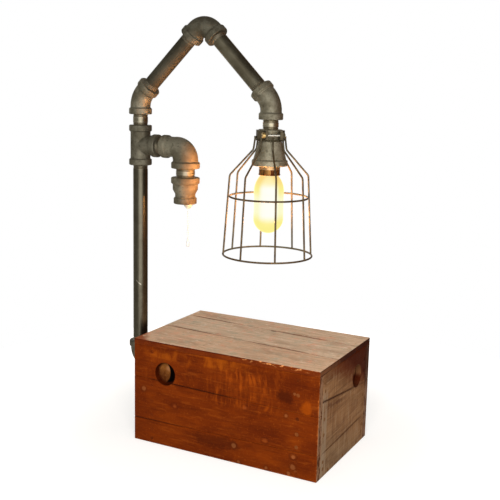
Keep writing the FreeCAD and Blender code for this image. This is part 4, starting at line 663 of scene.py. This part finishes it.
# Bulb: a tubular bulb of clear, faintly amber glass, burning. The glass shines white in the middle
# and yellow to orange towards its shoulder; the stem and the hairpin filament hang inside it. Its
# upright filament throws its light sideways, so four upright strips of light stand for it.
SHOULDER_Z, HOTTEST_Z, WHITE_Z = (0.370, 0.386), (0.342, 0.356, 0.016), (0.338, 0.372, 0.014)
CORE_YELLOW, CORE_WHITE = (1.0, 0.89, 0.32, 1.0), (1.0, 1.0, 0.9, 1.0)
CORE_AMBER, EDGE_YELLOW = (1.0, 0.88, 0.48, 1.0), (0.96, 0.87, 0.28, 1.0)
EDGE_ORANGE, EDGE_PALE = (0.97, 0.70, 0.24, 1.0), (0.97, 0.96, 0.62, 1.0)
glass = Finish("bulb_glass")
shoulder = glass.z.rise(*SHOULDER_Z)
hottest = glass.z.band(*HOTTEST_Z)
core_glow = glass.mix(CORE_YELLOW, CORE_WHITE, glass.z.band(*WHITE_Z))
core_glow = glass.mix(core_glow, CORE_AMBER, shoulder * 0.8)
edge_glow = glass.mix(EDGE_YELLOW, EDGE_ORANGE, shoulder)
edge_glow = glass.mix(edge_glow, EDGE_PALE, hottest)
clear = {"Base Color": (0.0, 0.0, 0.0, 1.0), "Roughness": 0.08, "Specular IOR Level": 0.2,
         "Emission Strength": 1.0}
core = glass.node("ShaderNodeBsdfPrincipled", {}, {**clear, "Emission Color": core_glow})
limb = glass.node("ShaderNodeBsdfPrincipled", {}, {**clear, "Emission Color": edge_glow})
edge_on = glass.node("ShaderNodeLayerWeight", {}, {"Blend": 0.5}, "Facing")
lit_glass = glass.node("ShaderNodeMixShader", {}, {0: edge_on.rise(0.04, 0.32), 1: core, 2: limb})
glass.node("ShaderNodeOutputMaterial", {}, {"Surface": lit_glass})
glass.paint("bulb_glass")
stem = Finish("stem_glass")
seeds = stem.noise(stem.place, 200, 3)
stem.surface(Base_Color=stem.mix(tone(250, 240, 214), tone(236, 220, 184), seeds), Roughness=0.2,
             Emission_Color=(1.0, 0.85, 0.5, 1.0), Emission_Strength=1.0)
stem.paint("bulb_stem")
WIRE_YELLOW, WIRE_ORANGE = (1.0, 0.82, 0.45, 1.0), (1.0, 0.68, 0.28, 1.0)
tungsten = Finish("filament_wire")
flicker = tungsten.noise(tungsten.place, 500, 2)
hot = tungsten.mix(WIRE_YELLOW, WIRE_ORANGE, flicker)
tungsten.surface(Base_Color=(0.9, 0.6, 0.3, 1.0), Emission_Color=hot, Emission_Strength=6.0)
tungsten.paint("filament")
for name in ("bulb_glass", "bulb_stem", "filament"):
    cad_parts[name].visible_shadow = False
STRIPS, STRIP_WIDTH, STRIP_HEIGHT, STRIP_Z, STRIP_OUT = 4, 0.024, 0.06, 0.348, 0.012
STRIP_POWER, STRIP_COLOUR, STRIP_SPREAD, STRIP_TILT = 0.36, (1.0, 0.42, 0.13), 150, 108
for index in range(STRIPS):
    strip = bpy.data.lights.new("bulb_light", "AREA")
    strip.shape, strip.size, strip.size_y = "RECTANGLE", STRIP_WIDTH, STRIP_HEIGHT
    strip.energy, strip.color, strip.spread = STRIP_POWER, STRIP_COLOUR, math.radians(STRIP_SPREAD)
    bulb_side = bpy.data.objects.new("bulb_light", strip)
    turn = math.radians((index + 0.5) * 360 / STRIPS)
    bulb_side.matrix_world = (Matrix.Translation((LAMP_X, LAMP_Y, STRIP_Z)) @ Matrix.Rotation(turn, 4, "Z")
                              @ Matrix.Rotation(math.radians(STRIP_TILT), 4, "X")
                              @ Matrix.Translation((0, 0, -STRIP_OUT)))
    bpy.context.scene.collection.objects.link(bulb_side)
    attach(bulb_side, "head")


# Cage: a split strap collar and eight bent wires on two rings, all of steel, welded and bronzed. The
# bronze is brown outside and olive on the collar. On the wires the inner side, which faces the bulb,
# is painted a duller grey and made less metallic, a painted tone that tempers the bulb's light there.
COLLAR_Z, TWO_TONE_BELOW = (0.408, 0.425), (0.425, 0.41)
bronze = Finish("cage_wire")
rub = bronze.noise(bronze.place, 90, 4, 0.65)
fine = bronze.noise(bronze.place, 900, 3, 0.6)
brown_bronze = bronze.mix(tone(126, 107, 80), tone(92, 74, 53), rub.rise(0.35, 0.62))
brown_bronze = bronze.mix(brown_bronze, tone(150, 108, 70), fine.rise(0.55, 0.72) * 0.4)
painted_bulb_side_bronze = bronze.mix(tone(116, 108, 88), tone(92, 82, 62), rub.rise(0.35, 0.62))
out_x, out_y = bronze.x - LAMP_X, bronze.y - LAMP_Y
normal_x, normal_y = bronze.parts_of(bronze.node("ShaderNodeTexCoord", output="Normal"))[:2]
outward = (out_x * normal_x + out_y * normal_y) / (out_x * out_x + out_y * out_y).root()
olive = bronze.mix(tone(106, 97, 78), tone(76, 68, 52), rub.rise(0.35, 0.62))
brown_bronze = bronze.mix(brown_bronze, olive, bronze.z.rise(*COLLAR_Z))
# Painted light and shade: the wires' side towards the bulb takes the duller, greyer tone.
inner_side = (outward + (fine - 0.5) * 0.4).rise(0.1, -0.25) * bronze.z.rise(*TWO_TONE_BELOW)
bronze.surface(Base_Color=bronze.mix(brown_bronze, painted_bulb_side_bronze, inner_side), Metallic=0.7 - inner_side * 0.4,
               Roughness=0.36 + fine * 0.15, Specular_IOR_Level=0.3, Normal=bronze.bump(fine, 0.0001, 0.4))
bronze.paint("cage_collar", "cage_wires", "cage_middle_ring", "cage_bottom_ring", "clamp_nut")


# Clamp: a bright screw with a slotted brass head, drawing the collar's ears together. Its nut was
# bronzed along with the cage.
SCREW_ALONG_X, SCREW_ALONG_Y, SCREW_HEAD = 0.788, 0.616, (-0.007, -0.009)
clamp = Finish("clamp_steel")
bright = clamp.noise(clamp.place, 600, 3)
to_head = (clamp.x - LAMP_X) * SCREW_ALONG_X + (clamp.y - LAMP_Y) * SCREW_ALONG_Y
steel = clamp.mix(tone(236, 232, 222), tone(232, 198, 132), to_head.rise(*SCREW_HEAD))
clamp.surface(Base_Color=clamp.mix(steel, tone(150, 120, 84), bright.rise(0.55, 0.7) * 0.4), Metallic=0.95,
              Roughness=0.35 + bright * 0.15)
clamp.paint("clamp_screw")


# Flex: round twisted-fibre braid over two cores, drawn through the pipes from the grommet to the
# lamp holder, with a tail to the switch.
WEAVE = 3600
braid = Finish("flex_fabric")
weave_a = ((braid.x + braid.z) * WEAVE).sin() * 0.5 + 0.5
weave_b = ((braid.y - braid.z) * WEAVE).sin() * 0.5 + 0.5
thread = weave_a * weave_b
braid.surface(Base_Color=braid.mix(tone(44, 34, 26), tone(96, 76, 56), thread), Roughness=0.85,
              Normal=braid.bump(thread, 0.0003, 0.8))
braid.paint("supply_flex", "arch_flex", "head_flex")


# Setting: a pale round table top under two soft lights, one beside the camera and one overhead, in a
# dim studio with a bright window behind the camera and a white backdrop behind the lamp. The table
# and the backdrop show white, and the table keeps the lamp's shadow.
TABLE_RADIUS, TABLE_SIDES, TABLE_BELOW = 0.62, 96, 0.0006
table_mesh = bpy.data.meshes.new("table")
turns = [2 * math.pi * side / TABLE_SIDES for side in range(TABLE_SIDES)]
table_rim = [(TABLE_RADIUS * math.cos(turn), TABLE_RADIUS * math.sin(turn), 0.0) for turn in turns]
table_mesh.from_pydata(table_rim, [], [tuple(range(TABLE_SIDES))])
table = bpy.data.objects.new("table", table_mesh)
table.location.z = -TABLE_BELOW
bpy.context.scene.collection.objects.link(table)


def seen_rays(finish):
    """1 for the rays of the camera and those that metal and glass throw on."""
    rays = [finish.node("ShaderNodeLightPath", output=kind)
            for kind in ("Is Camera Ray", "Is Transmission Ray", "Is Glossy Ray")]
    return rays[0].most(rays[1]), rays[2]


PAPER_TONE = (0.5, 0.49, 0.47, 1.0)
LIFT_AT_LAMP, LIFT_BEYOND, LIFT_GROWS = 0.62, 0.4, (0.2, 0.5)
paper = Finish("table_paper")
straight = seen_rays(paper)[0]
matt = paper.node("ShaderNodeBsdfDiffuse", {}, {"Color": PAPER_TONE})
from_lamp = (paper.x * paper.x + paper.y * paper.y).root()
lifted = from_lamp.rise(*LIFT_GROWS) * LIFT_BEYOND + LIFT_AT_LAMP
lift = paper.node("ShaderNodeEmission", {}, {"Strength": straight * lifted})
sheet = paper.node("ShaderNodeAddShader", {}, {0: matt, 1: lift})
paper.node("ShaderNodeOutputMaterial", {}, {"Surface": sheet})
table_mesh.materials.append(paper.material)

CAMERA_SIDE = (0.569, -0.822)
ROOM_GREY, ROOM_BROWN = (0.26, 0.25, 0.215, 1.0), (0.11, 0.042, 0.010, 1.0)
ROOM_CEILING = (0.02, 0.018, 0.012, 1.0)
WINDOW_WHITE, BACKDROP_WHITE = (1.9, 1.88, 1.8, 1.0), (1.0, 1.0, 1.0, 1.0)
studio = Finish("studio", bpy.data.worlds)
bpy.context.scene.world = studio.material
east, north, up = studio.parts_of(studio.node("ShaderNodeTexCoord", output="Generated"))
forward = east * CAMERA_SIDE[0] + north * CAMERA_SIDE[1]
rightward = north * CAMERA_SIDE[0] - east * CAMERA_SIDE[1]
level = (1 - up * up + 0.0001).root()
window = (forward / level).rise(0.8, 0.97) * up.band(-0.5, 0.3, 0.15)
dim = studio.mix(ROOM_GREY, ROOM_BROWN, rightward.rise(0.1, 0.5))
dim = studio.mix(dim, ROOM_CEILING, up.rise(0.45, 0.8))
room = studio.mix(dim, WINDOW_WHITE, window)
straight, mirrored = seen_rays(studio)
backdrop = straight.most(mirrored * forward.rise(-0.75, -0.92))
sky = studio.mix(room, BACKDROP_WHITE, backdrop)
shown = studio.node("ShaderNodeBackground", {}, {"Color": sky, "Strength": 1.0})
studio.node("ShaderNodeOutputWorld", {}, {"Surface": shown})


def soft_box(name, place, aim, size, energy, colour):
    """Square studio light at place, facing aim."""
    data = bpy.data.lights.new(name, "AREA")
    data.shape, data.size, data.energy, data.color = "SQUARE", size, energy, colour
    made = bpy.data.objects.new(name, data)
    made.location = place
    made.rotation_mode = "QUATERNION"
    made.rotation_quaternion = (Vector(aim) - Vector(place)).to_track_quat("-Z", "Y")
    made.visible_glossy = False
    bpy.context.scene.collection.objects.link(made)


soft_box("key_light", place=(0.70, -1.42, 0.95), aim=(0, 0, 0.2), size=0.9, energy=30,
         colour=(1.0, 0.97, 0.93))
soft_box("top_light", place=(0.1, -0.1, 1.9), aim=(0, 0, 0.1), size=1.1, energy=11,
         colour=(1.0, 0.97, 0.94))


# Camera: at the eye height of someone seated before the lamp, turned to show the crate's front
# and right end.
CAMERA_PLACE = (0.5457, -1.0682, 0.5059)
CAMERA_TURN, CAMERA_DIP, CAMERA_ROLL = 27.45, 10.73, 1.35
FOCAL_PIXELS, FRAME_PIXELS, SENSOR = 868.2, 500, 36.0
camera_data = bpy.data.cameras.new("camera")
camera_data.sensor_width = SENSOR
camera_data.lens = FOCAL_PIXELS / FRAME_PIXELS * SENSOR
camera = bpy.data.objects.new("camera", camera_data)
turned = (Matrix.Rotation(math.radians(CAMERA_TURN), 4, "Z")
          @ Matrix.Rotation(math.radians(90 - CAMERA_DIP), 4, "X")
          @ Matrix.Rotation(math.radians(CAMERA_ROLL), 4, "Z"))
camera.matrix_world = Matrix.Translation(CAMERA_PLACE) @ turned
bpy.context.scene.collection.objects.link(camera)
bpy.context.scene.camera = camera
bpy.context.scene.view_settings.view_transform = "Standard"
